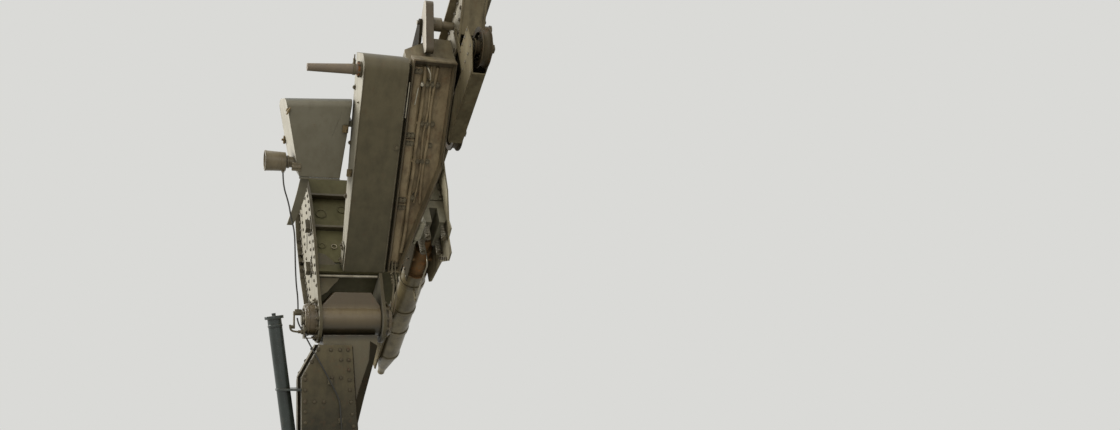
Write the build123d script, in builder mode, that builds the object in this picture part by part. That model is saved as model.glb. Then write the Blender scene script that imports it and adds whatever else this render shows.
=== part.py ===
# Running gear of a cable car: carriage with two bogies on a sloping track rope, pivot hub and hanger.
# Lengths are millimetres. The origin is on the axis of the track rope, at the middle of the carriage.
# World axes: +X up the line, +Y across it, +Z up. Carriage pieces use s along the rope (uphill),
# n square up from the rope and y across it. The hanger hangs plumb and uses world axes.
import math
import os

from build123d import *

os.makedirs("parts", exist_ok=True)

# Line
line_slope = 34.0            # slope of the track rope, degrees
rope_dia = 48.0

# Wheels and bogies
groove_r = 130.0             # wheel radius at the bottom of the rope groove
flange_h = 20.0              # height of the flange over the groove bottom
wheel_w = 76.0
wheel_hub_w = 108.0
wheel_hub_r = 52.0
wheel_web = 16.0
wheel_rim = 20.0             # rim thickness under the groove
wheel_lip = 8.0              # width of the flange tip
wheel_hole_dia = 36.0
wheel_holes = 5
axle_dia = 60.0
axle_end = 10.0              # axle beyond the bogie plate
axle_spacing = 880.0
bogie_centre = 1580.0        # bogie pivot from the middle of the carriage
bogie_pivot_n = 500.0
bogie_plate = 12.0
bogie_gap = 4.0              # running gap between wheel hub and bogie plate
bogie_boss_r = 66.0
bogie_head_r = 88.0
bogie_sleeve_r = 62.0
bogie_pin_dia = 80.0
bogie_pin_end = 14.0         # pin beyond the beam plate
pin_play = 0.05              # radial running clearance on every pin

# Main beam over the wheels
beam_inner = 84.0            # half the clear width between the beam plates
beam_plate = 16.0
beam_bottom = 395.0
beam_top = 680.0
beam_half = 2240.0
beam_end_h = 90.0            # height of the plates at their tips
beam_rise_s = 1840.0         # where the lower edge starts to rise to the tip
beam_flange = 60.0
beam_flange_t = 12.0
deck_t = 12.0
diaphragm_t = 12.0
diaphragm_gap = 20.0         # diaphragms end this far above the lower edge of the plates
diaphragm_s = (520.0, 840.0, 2150.0)

# Raking legs from the crown over the hub to the beam
leg_rake = 26.0              # leg to rope, degrees
leg_foot_s = 225.0           # front corner of the leg's foot
leg_foot_n = -588.0
leg_length = 1775.0
leg_depth_top = 330.0
leg_depth_low = 130.0
leg_wall = 12.0
leg_shoulder = 80.0          # the leg's back starts this far below its top corner
leg_top_round = 90.0
outer_leg_y = (-828.0, -490.0)
inner_leg_y = (-465.0, -130.0)
inner_leg_low_y = -365.0     # right edge of the inner leg at its low end
inner_leg_taper_u = -850.0   # where that edge starts to run in
inner_leg_depth = 100.0
pin_room = 5.0               # clearance round the bogie pin in the transom
transom_s = (1480.0, 1720.0)
transom_top = (560.0, 400.0)    # over the beam's side and over the outer leg
transom_shelf_y = -240.0
crown_top = -330.0
crown_top_half = 60.0

# Pivot
pivot_n = -908.0
hub_y = (-1012.0, -543.0)
hub_r = 130.0
hub_side_gap = 8.0
shaft_dia = 110.0
shaft_end = 24.0             # shaft beyond the bearings
bearing_plate = 24.0
bearing_r = 125.0
outer_bearing_l = 86.0
inner_bearing_l = 50.0
plate_lobe_r = 185.0         # bearing plates round the shaft
plate_ear_s = 185.0
plate_ear_n = -834.0
plate_slot_at = (-19.0, -93.0)   # plumb slot in the tall plate
plate_slot_l = 147.0
plate_slot_w = 36.0
web_s = 160.0                # front face of the web between the tall bearing plate and the leg
web_t = 10.0
web_low = -446.0
web_top = 460.0
web_right_y = -600.0         # edge of the web behind the outer leg
tie_w = 50.0
tie_h = 20.0
tie_n = (240.0, -105.0)

# Hanger
hanger_depth = 300.0         # along the line, over the two plates
hanger_plate = 14.0
hanger_top = 199.0           # top of the plates below the pivot axis
hanger_foot = 1980.0         # foot face below the pivot axis
hanger_outer_y = -1178.0
hanger_neck_y = -744.0
foot_half_w = 220.0
foot_t = 30.0
foot_margin = 50.0           # foot beyond the hanger plates
foot_hole_r = 17.0
foot_hole_x = 320.0          # hole spacing along the line
foot_hole_y = 360.0          # hole spacing across it

# Guard cheeks, brake and rope trough under the beam
cheek_t = 12.0
trough_r = 112.0
trough_t = 6.0
trough_arc = 208.0           # degrees of the open trough round the rope
trough_s = (-480.0, -1850.0)
nose_s = -2200.0
collar_r = 36.0
collar_l = 50.0
strap_w = 50.0
strap_t = 8.0
strap_s = (-640.0, -1060.0, -1400.0)
strap_lug_n = -245.0         # lug under the first strap
strap_lug_w = 30.0
strap_lap = 70.0             # straps reach this far up the beam plates
brake_bore_r = 34.0
brake_s = (-20.0, 300.0)
joint_r = 58.0
joint_l = 130.0
coupling_r = 85.0
rod_dia = 12.0
rod_s = -100.0
rod_n = -225.0
rod_bend = 60.0

# Hood, horn and hand grip on the upper leg
hood_y = (-1345.0, -845.0)
hood_front = -200.0          # distance out from the leg's front face
hood_back = -540.0
hood_top_u = (-440.0, -560.0)    # top edge at the front and at the back
hood_low_u = -1060.0
hood_low_y = (-1203.0, -1245.0)  # left edge of the hood's low end, at the front and at the back
hood_round = (50.0, 90.0)    # top edges at the front and at the back
rail_u = (-590.0, -640.0)    # rail from the leg to the hood
rail_v = (-230.0, -310.0)
horn_u = -981.0
horn_v = -300.0
horn_y = (-1459.0, -1302.0)
horn_r = 72.0
horn_stem_dia = 85.0
horn_socket_y = -1200.0
horn_dish = 40.0             # depth of its dished mouth
horn_lip = 6.0
gland_y = -1320.0            # where the thin cable leaves the horn
gland_l = 12.0
cable_dia = 12.0
outer_cable_y = -1185.0      # the cable comes down to the stand's knob at this y
grip_u = -145.0
grip_v = -100.0
grip_y = (-1223.0, -857.0)
grip_r = (50.0, 40.0, 27.5)  # fitting, sleeve at the fitting and at its tip
grip_droop = 19.0

slope = math.radians(line_slope)
line_dir = Vector(math.cos(slope), 0, math.sin(slope))
line_up = Vector(-math.sin(slope), 0, math.cos(slope))
rake = math.radians(leg_rake)
leg_top_s = leg_foot_s + leg_length * math.cos(rake)
leg_top_n = leg_foot_n + leg_length * math.sin(rake)


def on_line(s, n, y=0.0):
    """World point of the carriage coordinates s, n and y."""
    return line_dir * s + line_up * n + Vector(0, y, 0)


def side_plane(y):
    """Plane of the carriage side at y: local x is s, local y is n, it faces -Y."""
    return Plane(origin=(0, y, 0), x_dir=line_dir, z_dir=(0, -1, 0))


def cross_plane(s):
    """Plane square to the rope at s: local x is y, local y is n, it faces uphill."""
    return Plane(origin=line_dir * s, x_dir=(0, 1, 0), z_dir=line_dir)


def turn_plane(s, n, y=0.0):
    """Plane through an axis across the line: local x is the radius, local y is y."""
    return Plane(origin=on_line(s, n, y), x_dir=line_dir, z_dir=line_up)


def leg_point(u, v, side=1):
    """Carriage s, n of a point u up the leg from its top corner and v out from its front face."""
    s = leg_top_s + u * math.cos(rake) + v * math.sin(rake)
    n = leg_top_n + u * math.sin(rake) - v * math.cos(rake)
    return (side * s, n)


def leg_plane(v, side=1):
    """Plane parallel to a leg's front face, v out from it: local x is side * y, local y is u."""
    out = line_dir * (side * math.sin(rake)) - line_up * math.cos(rake)
    return Plane(origin=on_line(*leg_point(0, v, side)), x_dir=(0, side, 0), z_dir=out)


def hang_plane(dx):
    """Upright plane across the line at dx uphill of the pivot: local x is y, local y is height."""
    return Plane(origin=pivot + Vector(dx, 0, 0), x_dir=(0, 1, 0), z_dir=(1, 0, 0))


def mirrored(points):
    """A half outline and its mirror image downhill, as one closed outline."""
    return points + [(-s, n) for s, n in reversed(points)]


def save(builder, name):
    builder.part.label = name
    export_step(builder.part, f"parts/{name}.step")


ends = (("upper", 1), ("lower", -1))
axle_n = rope_dia / 2 + groove_r
flange_r = groove_r + flange_h
beam_outer = beam_inner + beam_plate
bogie_inner = wheel_hub_w / 2 + bogie_gap
bogie_outer = bogie_inner + bogie_plate
pivot = on_line(0, pivot_n)
plate_outer_y = hub_y[0] - hub_side_gap
plate_inner_y = hub_y[1] + hub_side_gap

# Main beam: two plates with a top flange outside, drawn as half outlines and mirrored
beam_tip = beam_top - beam_end_h
shaft_at = (1825.0, 600.0)
shaft_r = 30.0
half_outline = [(beam_rise_s, beam_bottom), (2125.0, beam_tip), (beam_half, beam_tip), (beam_half, beam_top)]
for name, y_face, y_flange in (
    ("beam_plate_near", -beam_inner, -beam_outer),
    ("beam_plate_far", beam_outer, beam_outer + beam_flange),
):
    with BuildPart() as beam_side:
        with BuildSketch(side_plane(y_face)):
            Polygon(*mirrored(half_outline), align=None)
        extrude(amount=beam_plate)
        with BuildSketch(side_plane(y_flange)):
            with Locations((0, beam_top - beam_flange_t / 2)):
                Rectangle(2 * beam_half, beam_flange_t)
        extrude(amount=beam_flange)
        with BuildSketch(side_plane(beam_outer + beam_flange)):
            with Locations((bogie_centre, bogie_pivot_n), (-bogie_centre, bogie_pivot_n)):
                Circle(bogie_pin_dia / 2)
            with Locations(shaft_at):
                Circle(shaft_r)
        extrude(amount=2 * (beam_outer + beam_flange), mode=Mode.SUBTRACT)
    save(beam_side, name)

# Deck over the beam plates, and the cross diaphragms under it
with BuildPart() as beam_deck:
    with BuildSketch(side_plane(beam_outer)):
        with Locations((0, beam_top + deck_t / 2)):
            Rectangle(2 * beam_half, deck_t)
    extrude(amount=2 * beam_outer)
save(beam_deck, "beam_deck")
with BuildPart() as diaphragms:
    with BuildSketch(side_plane(beam_inner)):
        for s in diaphragm_s:
            low = (beam_bottom if s < beam_rise_s else beam_tip) + diaphragm_gap
            with Locations((s, (beam_top + low) / 2), (-s, (beam_top + low) / 2)):
                Rectangle(diaphragm_t, beam_top - low)
    extrude(amount=2 * beam_inner)
save(diaphragms, "diaphragms")

# Bogie pins through both beam plates
pin_half = beam_outer + bogie_pin_end
with BuildPart() as bogie_pins:
    with BuildSketch(side_plane(pin_half)):
        with Locations((bogie_centre, bogie_pivot_n), (-bogie_centre, bogie_pivot_n)):
            Circle(bogie_pin_dia / 2)
    extrude(amount=2 * pin_half)
save(bogie_pins, "bogie_pins")

# Bogies: two three-cornered side plates joined by the pivot sleeve
for end, side in ends:
    centre = side * bogie_centre
    axle_at = (centre - axle_spacing / 2, centre + axle_spacing / 2)
    with BuildPart() as bogie:
        for y_face in (-bogie_inner, bogie_outer):
            with BuildSketch(side_plane(y_face)):
                with Locations((axle_at[0], axle_n), (axle_at[1], axle_n)):
                    Circle(bogie_boss_r)
                with Locations((centre, bogie_pivot_n)):
                    Circle(bogie_head_r)
                make_hull()
            extrude(amount=bogie_plate)
        with BuildSketch(side_plane(bogie_inner)):
            with Locations((centre, bogie_pivot_n)):
                Circle(bogie_sleeve_r)
        extrude(amount=2 * bogie_inner)
        with BuildSketch(side_plane(bogie_outer)):
            with Locations((centre, bogie_pivot_n)):
                Circle(bogie_pin_dia / 2 + pin_play)
            with Locations((axle_at[0], axle_n), (axle_at[1], axle_n)):
                Circle(axle_dia / 2)
        extrude(amount=2 * bogie_outer, mode=Mode.SUBTRACT)
    save(bogie, f"bogie_{end}")

    with BuildPart() as axles:
        with BuildSketch(side_plane(bogie_outer + axle_end)):
            with Locations((axle_at[0], axle_n), (axle_at[1], axle_n)):
                Circle(axle_dia / 2)
        extrude(amount=2 * (bogie_outer + axle_end))
    save(axles, f"axles_{end}")

# Wheels: grooved rim, pierced web and long hub, turned about the axle
bore_r = axle_dia / 2 + pin_play
rim_r = groove_r - wheel_rim
wheel_number = 0
for side in (-1, 1):
    for offset in (-1, 1):
        wheel_number += 1
        centre_s = side * bogie_centre + offset * axle_spacing / 2
        with BuildPart() as wheel:
            with BuildSketch(turn_plane(centre_s, axle_n)):
                with BuildLine():
                    Polyline(
                        (rim_r, -wheel_web / 2),
                        (rim_r, -wheel_w / 2),
                        (flange_r, -wheel_w / 2),
                        (flange_r, -wheel_w / 2 + wheel_lip),
                    )
                    ThreePointArc(
                        (flange_r, -wheel_w / 2 + wheel_lip), (groove_r, 0), (flange_r, wheel_w / 2 - wheel_lip)
                    )
                    Polyline(
                        (flange_r, wheel_w / 2 - wheel_lip),
                        (flange_r, wheel_w / 2),
                        (rim_r, wheel_w / 2),
                        (rim_r, wheel_web / 2),
                        (wheel_hub_r, wheel_web / 2),
                        (wheel_hub_r, wheel_hub_w / 2),
                        (bore_r, wheel_hub_w / 2),
                        (bore_r, -wheel_hub_w / 2),
                        (wheel_hub_r, -wheel_hub_w / 2),
                        (wheel_hub_r, -wheel_web / 2),
                        (rim_r, -wheel_web / 2),
                    )
                make_face()
            revolve(axis=Axis(on_line(centre_s, axle_n), (0, 1, 0)))
            with BuildSketch(Plane(origin=on_line(centre_s, axle_n, wheel_web), x_dir=line_dir, z_dir=(0, -1, 0))):
                with PolarLocations((rim_r + wheel_hub_r) / 2, wheel_holes):
                    Circle(wheel_hole_dia / 2)
            extrude(amount=2 * wheel_web, mode=Mode.SUBTRACT)
        save(wheel, f"wheel_{wheel_number}")

# Raking legs, the outer ones channels open at the back and the inner ones at the front, and their transoms
low_u = -leg_length
inner_flare = [
    (inner_leg_y[0], 0.0), (inner_leg_y[1], 0.0), (inner_leg_y[1], inner_leg_taper_u),
    (inner_leg_low_y, low_u), (inner_leg_y[0], low_u),
]
inner_hollow = [
    (inner_leg_y[0] + leg_wall, -leg_wall), (inner_leg_y[1] - leg_wall, -leg_wall),
    (inner_leg_y[1] - leg_wall, inner_leg_taper_u + leg_wall),
    (inner_leg_low_y - leg_wall, low_u + leg_wall), (inner_leg_y[0] + leg_wall, low_u + leg_wall),
]
for end, side in ends:
    with BuildPart() as leg:
        with BuildSketch(side_plane(outer_leg_y[1])):
            Polygon(
                leg_point(0, 0, side),
                leg_point(low_u, 0, side),
                leg_point(low_u, -leg_depth_low, side),
                leg_point(-leg_shoulder, -leg_depth_top, side),
                align=None,
            )
        extrude(amount=outer_leg_y[1] - outer_leg_y[0])
        top_edges = leg.edges().filter_by(Axis.Y).sort_by_distance(on_line(*leg_point(0, 0, side)))
        fillet(top_edges[0], radius=leg_top_round)
        with BuildSketch(side_plane(outer_leg_y[1] - leg_wall)):
            Polygon(
                leg_point(-leg_wall - leg_top_round, -leg_wall, side),
                leg_point(low_u + leg_wall, -leg_wall, side),
                leg_point(low_u + leg_wall, -leg_depth_low * 1.5, side),
                leg_point(-leg_shoulder - leg_top_round, -leg_depth_top * 1.2, side),
                align=None,
            )
        extrude(amount=outer_leg_y[1] - outer_leg_y[0] - 2 * leg_wall, mode=Mode.SUBTRACT)
    save(leg, f"outer_leg_{end}")

    with BuildPart() as inner_leg:
        with BuildSketch(leg_plane(0, side)):
            Polygon(*[(side * y, u) for y, u in inner_flare], align=None)
        extrude(amount=-inner_leg_depth)
        with BuildSketch(leg_plane(0, side)):
            Polygon(*[(side * y, u) for y, u in inner_hollow], align=None)
        extrude(amount=leg_wall - inner_leg_depth, mode=Mode.SUBTRACT)
    save(inner_leg, f"inner_leg_{end}")

    back_n = [
        leg_top_n + (s - leg_top_s) * math.tan(rake) + inner_leg_depth / math.cos(rake) for s in transom_s
    ]
    with BuildPart() as transom:
        with BuildSketch(side_plane(-beam_outer)):
            Polygon(
                (side * transom_s[0], back_n[0]),
                (side * transom_s[1], back_n[1]),
                (side * transom_s[1], transom_top[0]),
                (side * transom_s[0], transom_top[0]),
                align=None,
            )
        extrude(amount=-beam_outer - outer_leg_y[1])
        with BuildSketch(cross_plane(side * sum(transom_s) / 2)):
            Polygon(
                (outer_leg_y[1], transom_top[1]), (transom_shelf_y, transom_top[0]),
                (outer_leg_y[1], transom_top[0]), align=None,
            )
        extrude(amount=transom_s[1] - transom_s[0], both=True, mode=Mode.SUBTRACT)
        with BuildSketch(side_plane(-beam_outer)):
            with Locations((side * bogie_centre, bogie_pivot_n)):
                Circle(bogie_pin_dia / 2 + pin_room)
        extrude(amount=bogie_pin_end + pin_room, mode=Mode.SUBTRACT)
    save(transom, f"transom_{end}")

# Crown between the leg feet, in two lengths either side of the inner bearing plate
crown_end = leg_point(low_u, 0)
crown_shoulder = leg_point(low_u, -leg_depth_low)
crown_outline = mirrored([crown_end, crown_shoulder, (crown_top_half, crown_top)])
for name, y_from, y_to in (
    ("crown_outer", plate_outer_y, plate_inner_y),
    ("crown_inner", plate_inner_y + bearing_plate, inner_leg_low_y),
):
    with BuildPart() as crown:
        with BuildSketch(side_plane(y_to)):
            Polygon(*crown_outline, align=None)
        extrude(amount=y_to - y_from)
    save(crown, name)

# Bearing plates: the outer one is a tall riveted plate, the inner one stops under the legs
plate_foot = [(170.0, -960.0), (plate_ear_s, plate_ear_n), (crown_end[0] - 4, crown_end[1])]
outer_half = plate_foot + [(275.0, -300.0), (275.0, 130.0), (190.0, web_top)]
inner_half = plate_foot + [crown_shoulder, (crown_top_half, crown_top)]
for name, y_face, half in (
    ("bearing_plate_outer", plate_outer_y, outer_half),
    ("bearing_plate_inner", plate_inner_y + bearing_plate, inner_half),
):
    with BuildPart() as plate:
        with BuildSketch(side_plane(y_face)):
            Polygon(*mirrored(half), align=None)
            with Locations((0, pivot_n)):
                Circle(plate_lobe_r)
            with Locations((0, pivot_n)):
                Circle(shaft_dia / 2, mode=Mode.SUBTRACT)
            if name == "bearing_plate_outer":
                with Locations(plate_slot_at):
                    SlotOverall(plate_slot_l, plate_slot_w, rotation=90 - line_slope, mode=Mode.SUBTRACT)
        extrude(amount=bearing_plate)
    save(plate, name)

# Bearings outside the plates and the fixed pivot shaft
outer_face = plate_outer_y - bearing_plate
inner_face = plate_inner_y + bearing_plate
shaft_tip = outer_face - outer_bearing_l - shaft_end
with BuildPart() as bearings:
    for y_face, length in ((outer_face, outer_bearing_l), (inner_face + inner_bearing_l, inner_bearing_l)):
        with BuildSketch(side_plane(y_face)):
            with Locations((0, pivot_n)):
                Circle(bearing_r)
                Circle(shaft_dia / 2, mode=Mode.SUBTRACT)
        extrude(amount=length)
save(bearings, "bearings")
with BuildPart() as pivot_shaft:
    with BuildSketch(side_plane(inner_face + inner_bearing_l + shaft_end)):
        with Locations((0, pivot_n)):
            Circle(shaft_dia / 2)
    extrude(amount=inner_face + inner_bearing_l + shaft_end - shaft_tip)
save(pivot_shaft, "pivot_shaft")

# Stand on the shaft end that takes the thin cable: plate, knob and crank, heights from the pivot axis
stand_t = 6.0
stand_r = 45.0
stand_top_r = 26.0
knob_z = 54.0
knob_r = 20.0
knob_l = 50.0
crank_z = -57.0
crank_t = 12.0
crank_w = 30.0
crank_l = 27.0
crank_pin_r = 14.0
stand_plane = Plane(origin=pivot + Vector(0, shaft_tip, 0), x_dir=(1, 0, 0), z_dir=(0, -1, 0))
with BuildPart() as cable_stand:
    with BuildSketch(stand_plane):
        Circle(stand_r)
        with Locations((0, knob_z)):
            Circle(stand_top_r)
        make_hull()
    extrude(amount=stand_t)
    with BuildSketch(stand_plane.offset(stand_t)):
        with Locations((0, knob_z)):
            Circle(knob_r)
        with Locations((0, knob_z + knob_r)):
            Rectangle(24, 20)
    extrude(amount=knob_l)
    with BuildSketch(stand_plane.offset(stand_t + knob_l)):
        with Locations((0, (knob_z + crank_z) / 2)):
            SlotOverall(knob_z - crank_z + crank_w, crank_w, rotation=90)
    extrude(amount=crank_t)
    with BuildSketch(stand_plane.offset(stand_t + knob_l + crank_t)):
        with Locations((0, crank_z)):
            Circle(crank_pin_r)
    extrude(amount=crank_l)
save(cable_stand, "cable_stand")

# Web square to the rope, the ties in front of it to the near guard cheek, and the rod under the crown
crown_rod_at = (185.0, -603.0)
crown_rod_dia = 20.0
gusset_y = (-845.0, -870.0)      # right edge of the gusset under the crown, upper and lower corner
gusset_n = (-640.0, -776.0)      # foot of that edge, and of the gusset at the bearing plate
with BuildPart() as cross_ties:
    with BuildSketch(side_plane(-beam_outer - cheek_t)):
        for n in tie_n:
            with Locations((web_s + tie_w / 2, n)):
                Rectangle(tie_w, tie_h)
    extrude(amount=-beam_outer - cheek_t - plate_outer_y)
    with BuildSketch(side_plane(plate_inner_y)):
        with Locations(crown_rod_at):
            Circle(crown_rod_dia / 2)
    extrude(amount=plate_inner_y - plate_outer_y)
save(cross_ties, "cross_ties")
with BuildPart() as web_panel:
    with BuildSketch(cross_plane(web_s - web_t)):
        Polygon(
            (plate_outer_y, web_low), (web_right_y, web_low), (web_right_y, web_top), (plate_outer_y, web_top),
            align=None,
        )
        Polygon(
            (plate_outer_y, crown_end[1]), (gusset_y[0], crown_end[1]), (gusset_y[1], gusset_n[0]),
            (plate_outer_y, gusset_n[1]), align=None,
        )
    extrude(amount=web_t)
save(web_panel, "web_panel")

# Hub: bored barrel with a loaf-shaped saddle above and a neck that tapers down between the hanger plates
saddle_w = 180.0             # along the line
saddle_h = 220.0             # height of the saddle's top over the pivot axis
saddle_side_h = 112.0        # height where its ends start to slope in
saddle_top_y = (-910.0, -620.0)
neck_z = -122.0              # the neck leaves the barrel here
neck_left_y = -1008.0
neck_right = [(-577.0, -205.0), (-610.0, -345.0), (-685.0, -620.0), (hanger_neck_y, -865.0)]
neck_throat = [(-800.0, -865.0), (-940.0, -330.0)]
neck_half = hanger_depth / 2 - hanger_plate
barrel_plane = Plane(origin=pivot + Vector(0, hub_y[1], 0), x_dir=(1, 0, 0), z_dir=(0, -1, 0))
with BuildPart() as hub:
    with BuildSketch(barrel_plane):
        Circle(hub_r)
    extrude(amount=hub_y[1] - hub_y[0])
    with BuildSketch(hang_plane(-saddle_w / 2)):
        Polygon(
            (hub_y[0], 0), (hub_y[1], 0), (hub_y[1], saddle_side_h), (saddle_top_y[1], saddle_h),
            (saddle_top_y[0], saddle_h), (hub_y[0], saddle_side_h), align=None,
        )
    extrude(amount=saddle_w)
    with BuildSketch(hang_plane(-neck_half)):
        Polygon(
            (neck_left_y, neck_z), (neck_right[0][0], neck_z), *neck_right, *neck_throat,
            (neck_left_y, neck_throat[1][1]), align=None,
        )
    extrude(amount=2 * neck_half)
    with BuildSketch(barrel_plane):
        Circle(shaft_dia / 2 + pin_play)
    extrude(amount=hub_y[1] - hub_y[0], mode=Mode.SUBTRACT)
save(hub, "hub")

# Hanger plates, front and rear, with a web between them; heights are below the pivot axis
knee_over_foot = 340.0       # lower end of the inner sweep over the foot face
inner_round = 200.0
outer_round = 160.0
hanger_crown_y = -1036.0     # left corner of the plates at their top
front_neck_y = -784.0        # right corner of the front plate at its top
hanger_web_t = 16.0
hanger_web_y = -964.0        # right face of the web's upright run
web_foot_y = -120.0
web_bend_z = -1180.0
web_lift = (190.0, 174.0)    # bends of the web over the foot face, right and left
knee_low = knee_over_foot - hanger_foot
foot_top = foot_t - hanger_foot
sweep_inner = [
    (hanger_neck_y, -865), (hanger_neck_y, -1090), (-foot_half_w + 40, knee_low), (foot_half_w, knee_low)
]
sweep_outer = [
    (foot_half_w, foot_top), (-foot_half_w - 60, foot_top), (hanger_outer_y, -1250), (hanger_outer_y, -457),
    (hanger_crown_y, -hanger_top),
]
for name, dx, neck_edge in (
    ("hanger_front", neck_half, [(front_neck_y, -hanger_top), neck_right[-1]]),
    ("hanger_rear", -hanger_depth / 2, [(neck_right[0][0], -hanger_top), *neck_right[1:]]),
):
    with BuildPart() as hanger_side:
        with BuildSketch(hang_plane(dx)):
            with BuildLine():
                Polyline((hanger_crown_y, -hanger_top), *neck_edge)
                FilletPolyline(*sweep_inner, radius=inner_round)
                Line((foot_half_w, knee_low), (foot_half_w, foot_top))
                FilletPolyline(*sweep_outer, radius=outer_round)
            make_face()
        extrude(amount=hanger_plate)
    save(hanger_side, name)

# Web between the hanger plates and the foot flange with its four bolt holes
with BuildPart() as hanger_web:
    with BuildSketch(hang_plane(-neck_half)):
        Polygon(
            (hanger_web_y - hanger_web_t, neck_throat[1][1] - 2), (hanger_web_y, neck_throat[1][1] - 2),
            (hanger_web_y, web_bend_z), (web_foot_y, web_lift[0] - hanger_foot), (web_foot_y, foot_top),
            (web_foot_y - hanger_web_t, foot_top), (web_foot_y - hanger_web_t, web_lift[1] - hanger_foot),
            (hanger_web_y - hanger_web_t, web_bend_z - 6), align=None,
        )
    extrude(amount=2 * neck_half)
save(hanger_web, "hanger_web")
with BuildPart() as foot:
    with BuildSketch(Plane.XY.offset(pivot.Z - hanger_foot)):
        with Locations((pivot.X, 0)):
            Rectangle(hanger_depth + 2 * foot_margin, 2 * foot_half_w)
            with GridLocations(foot_hole_x, foot_hole_y, 2, 2):
                Circle(foot_hole_r, mode=Mode.SUBTRACT)
    extrude(amount=foot_t)
save(foot, "foot_flange")

# Capped tube that leans in beside the hanger, on two brackets
tube_r = 54.0
tube_top_y = -1370.0
tube_lean = math.atan2(108.0, 864.0)
tube_top = pivot + Vector(0, tube_top_y, 15)
tube_down = Vector(0, math.sin(tube_lean), -math.cos(tube_lean))
tube_length = 1175.0
cap_r = 73.0
cap_h = 24.0
cap_lap = 10.0               # the cap reaches this far down the tube
nipple_r = 16.0
nipple_h = 22.0
bracket_ring = 8.0           # bracket metal round the tube
bracket_t = 16.0
bracket_drops = (560.0, 1060.0)
bracket_back = 20.0
tube_plane = Plane(origin=tube_top, x_dir=(1, 0, 0), z_dir=tube_down)
with BuildPart() as capped_tube:
    with BuildSketch(tube_plane):
        Circle(tube_r)
    extrude(amount=tube_length)
    with BuildSketch(tube_plane.offset(cap_lap)):
        Circle(cap_r)
    extrude(amount=-cap_h)
    with BuildSketch(tube_plane.offset(cap_lap - cap_h)):
        Circle(nipple_r)
    extrude(amount=-nipple_h)
save(capped_tube, "capped_tube")
with BuildPart() as tube_brackets:
    for drop in bracket_drops:
        centre_y = tube_top.Y + (drop + tube_top.Z - pivot.Z) * math.tan(tube_lean)
        with BuildSketch(Plane.XY.offset(pivot.Z - drop)):
            with BuildSketch(mode=Mode.PRIVATE) as bracket_outline:
                with Locations((pivot.X, centre_y)):
                    Circle(tube_r + bracket_ring)
                with Locations((pivot.X, hanger_outer_y - bracket_back / 2)):
                    Rectangle(hanger_depth, bracket_back)
                make_hull()
                with Locations((pivot.X, hanger_outer_y + tube_r)):
                    Rectangle(hanger_depth, 2 * tube_r, mode=Mode.SUBTRACT)
            add(bracket_outline.sketch)
        extrude(amount=bracket_t)
    with BuildSketch(tube_plane):
        Circle(tube_r)
    extrude(amount=tube_length, mode=Mode.SUBTRACT)
save(tube_brackets, "tube_brackets")

# Guard cheeks on the outer faces of the beam, either side of the rope
far_cheek = [
    (590, 655), (529, 541), (479, 324), (454, 145), (339, -94), (359, -201), (255, -218), (244, -372),
    (144, -383), (-49, -245), (-415, -186), (-470, -150), (-470, 560),
]
near_cheek = [(380, 560), (300, 200), (280, -160), (150, -220), (-150, -200), (-470, -150), (-470, 560)]
for name, y_face, points in (
    ("guard_far", beam_outer + cheek_t, far_cheek),
    ("guard_near", -beam_outer, near_cheek),
):
    with BuildPart() as cheek:
        with BuildSketch(side_plane(y_face)):
            Polygon(*points, align=None)
        extrude(amount=cheek_t)
    save(cheek, name)

# Rope brake between the cheeks: block over the rope, joint tube and coupling below it
with BuildPart() as rope_brake:
    with BuildSketch(cross_plane(brake_s[0])):
        Polygon(
            (-beam_outer, -50), (-80, -90), (-brake_bore_r, -90), (-brake_bore_r, 70), (brake_bore_r, 70),
            (brake_bore_r, -90), (80, -90), (beam_outer, -50), (beam_outer, 150), (-beam_outer, 150),
            align=None,
        )
    extrude(amount=brake_s[1] - brake_s[0])
save(rope_brake, "rope_brake")
with BuildPart() as joint_tube:
    with BuildSketch(cross_plane(brake_s[0] - joint_l)):
        Circle(joint_r)
        Circle(brake_bore_r, mode=Mode.SUBTRACT)
    extrude(amount=joint_l)
save(joint_tube, "joint_tube")
coupling_face = brake_s[0] - joint_l
coupling_flange = (200.0, 120.0, 30.0)   # across, height and thickness
flange_setback = 130.0
end_ring_t = 10.0            # ring that closes the head of the trough
with BuildPart() as coupling:
    with BuildSketch(cross_plane(trough_s[0])):
        Circle(coupling_r)
        Circle(brake_bore_r, mode=Mode.SUBTRACT)
    extrude(amount=coupling_face - trough_s[0])
    with BuildSketch(cross_plane(coupling_face - flange_setback)):
        Rectangle(*coupling_flange[:2])
        Circle(brake_bore_r, mode=Mode.SUBTRACT)
    extrude(amount=coupling_flange[2])
    with BuildSketch(cross_plane(trough_s[0])):
        Circle(trough_r)
        Circle(brake_bore_r, mode=Mode.SUBTRACT)
    extrude(amount=end_ring_t)
save(coupling, "coupling")

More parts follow.
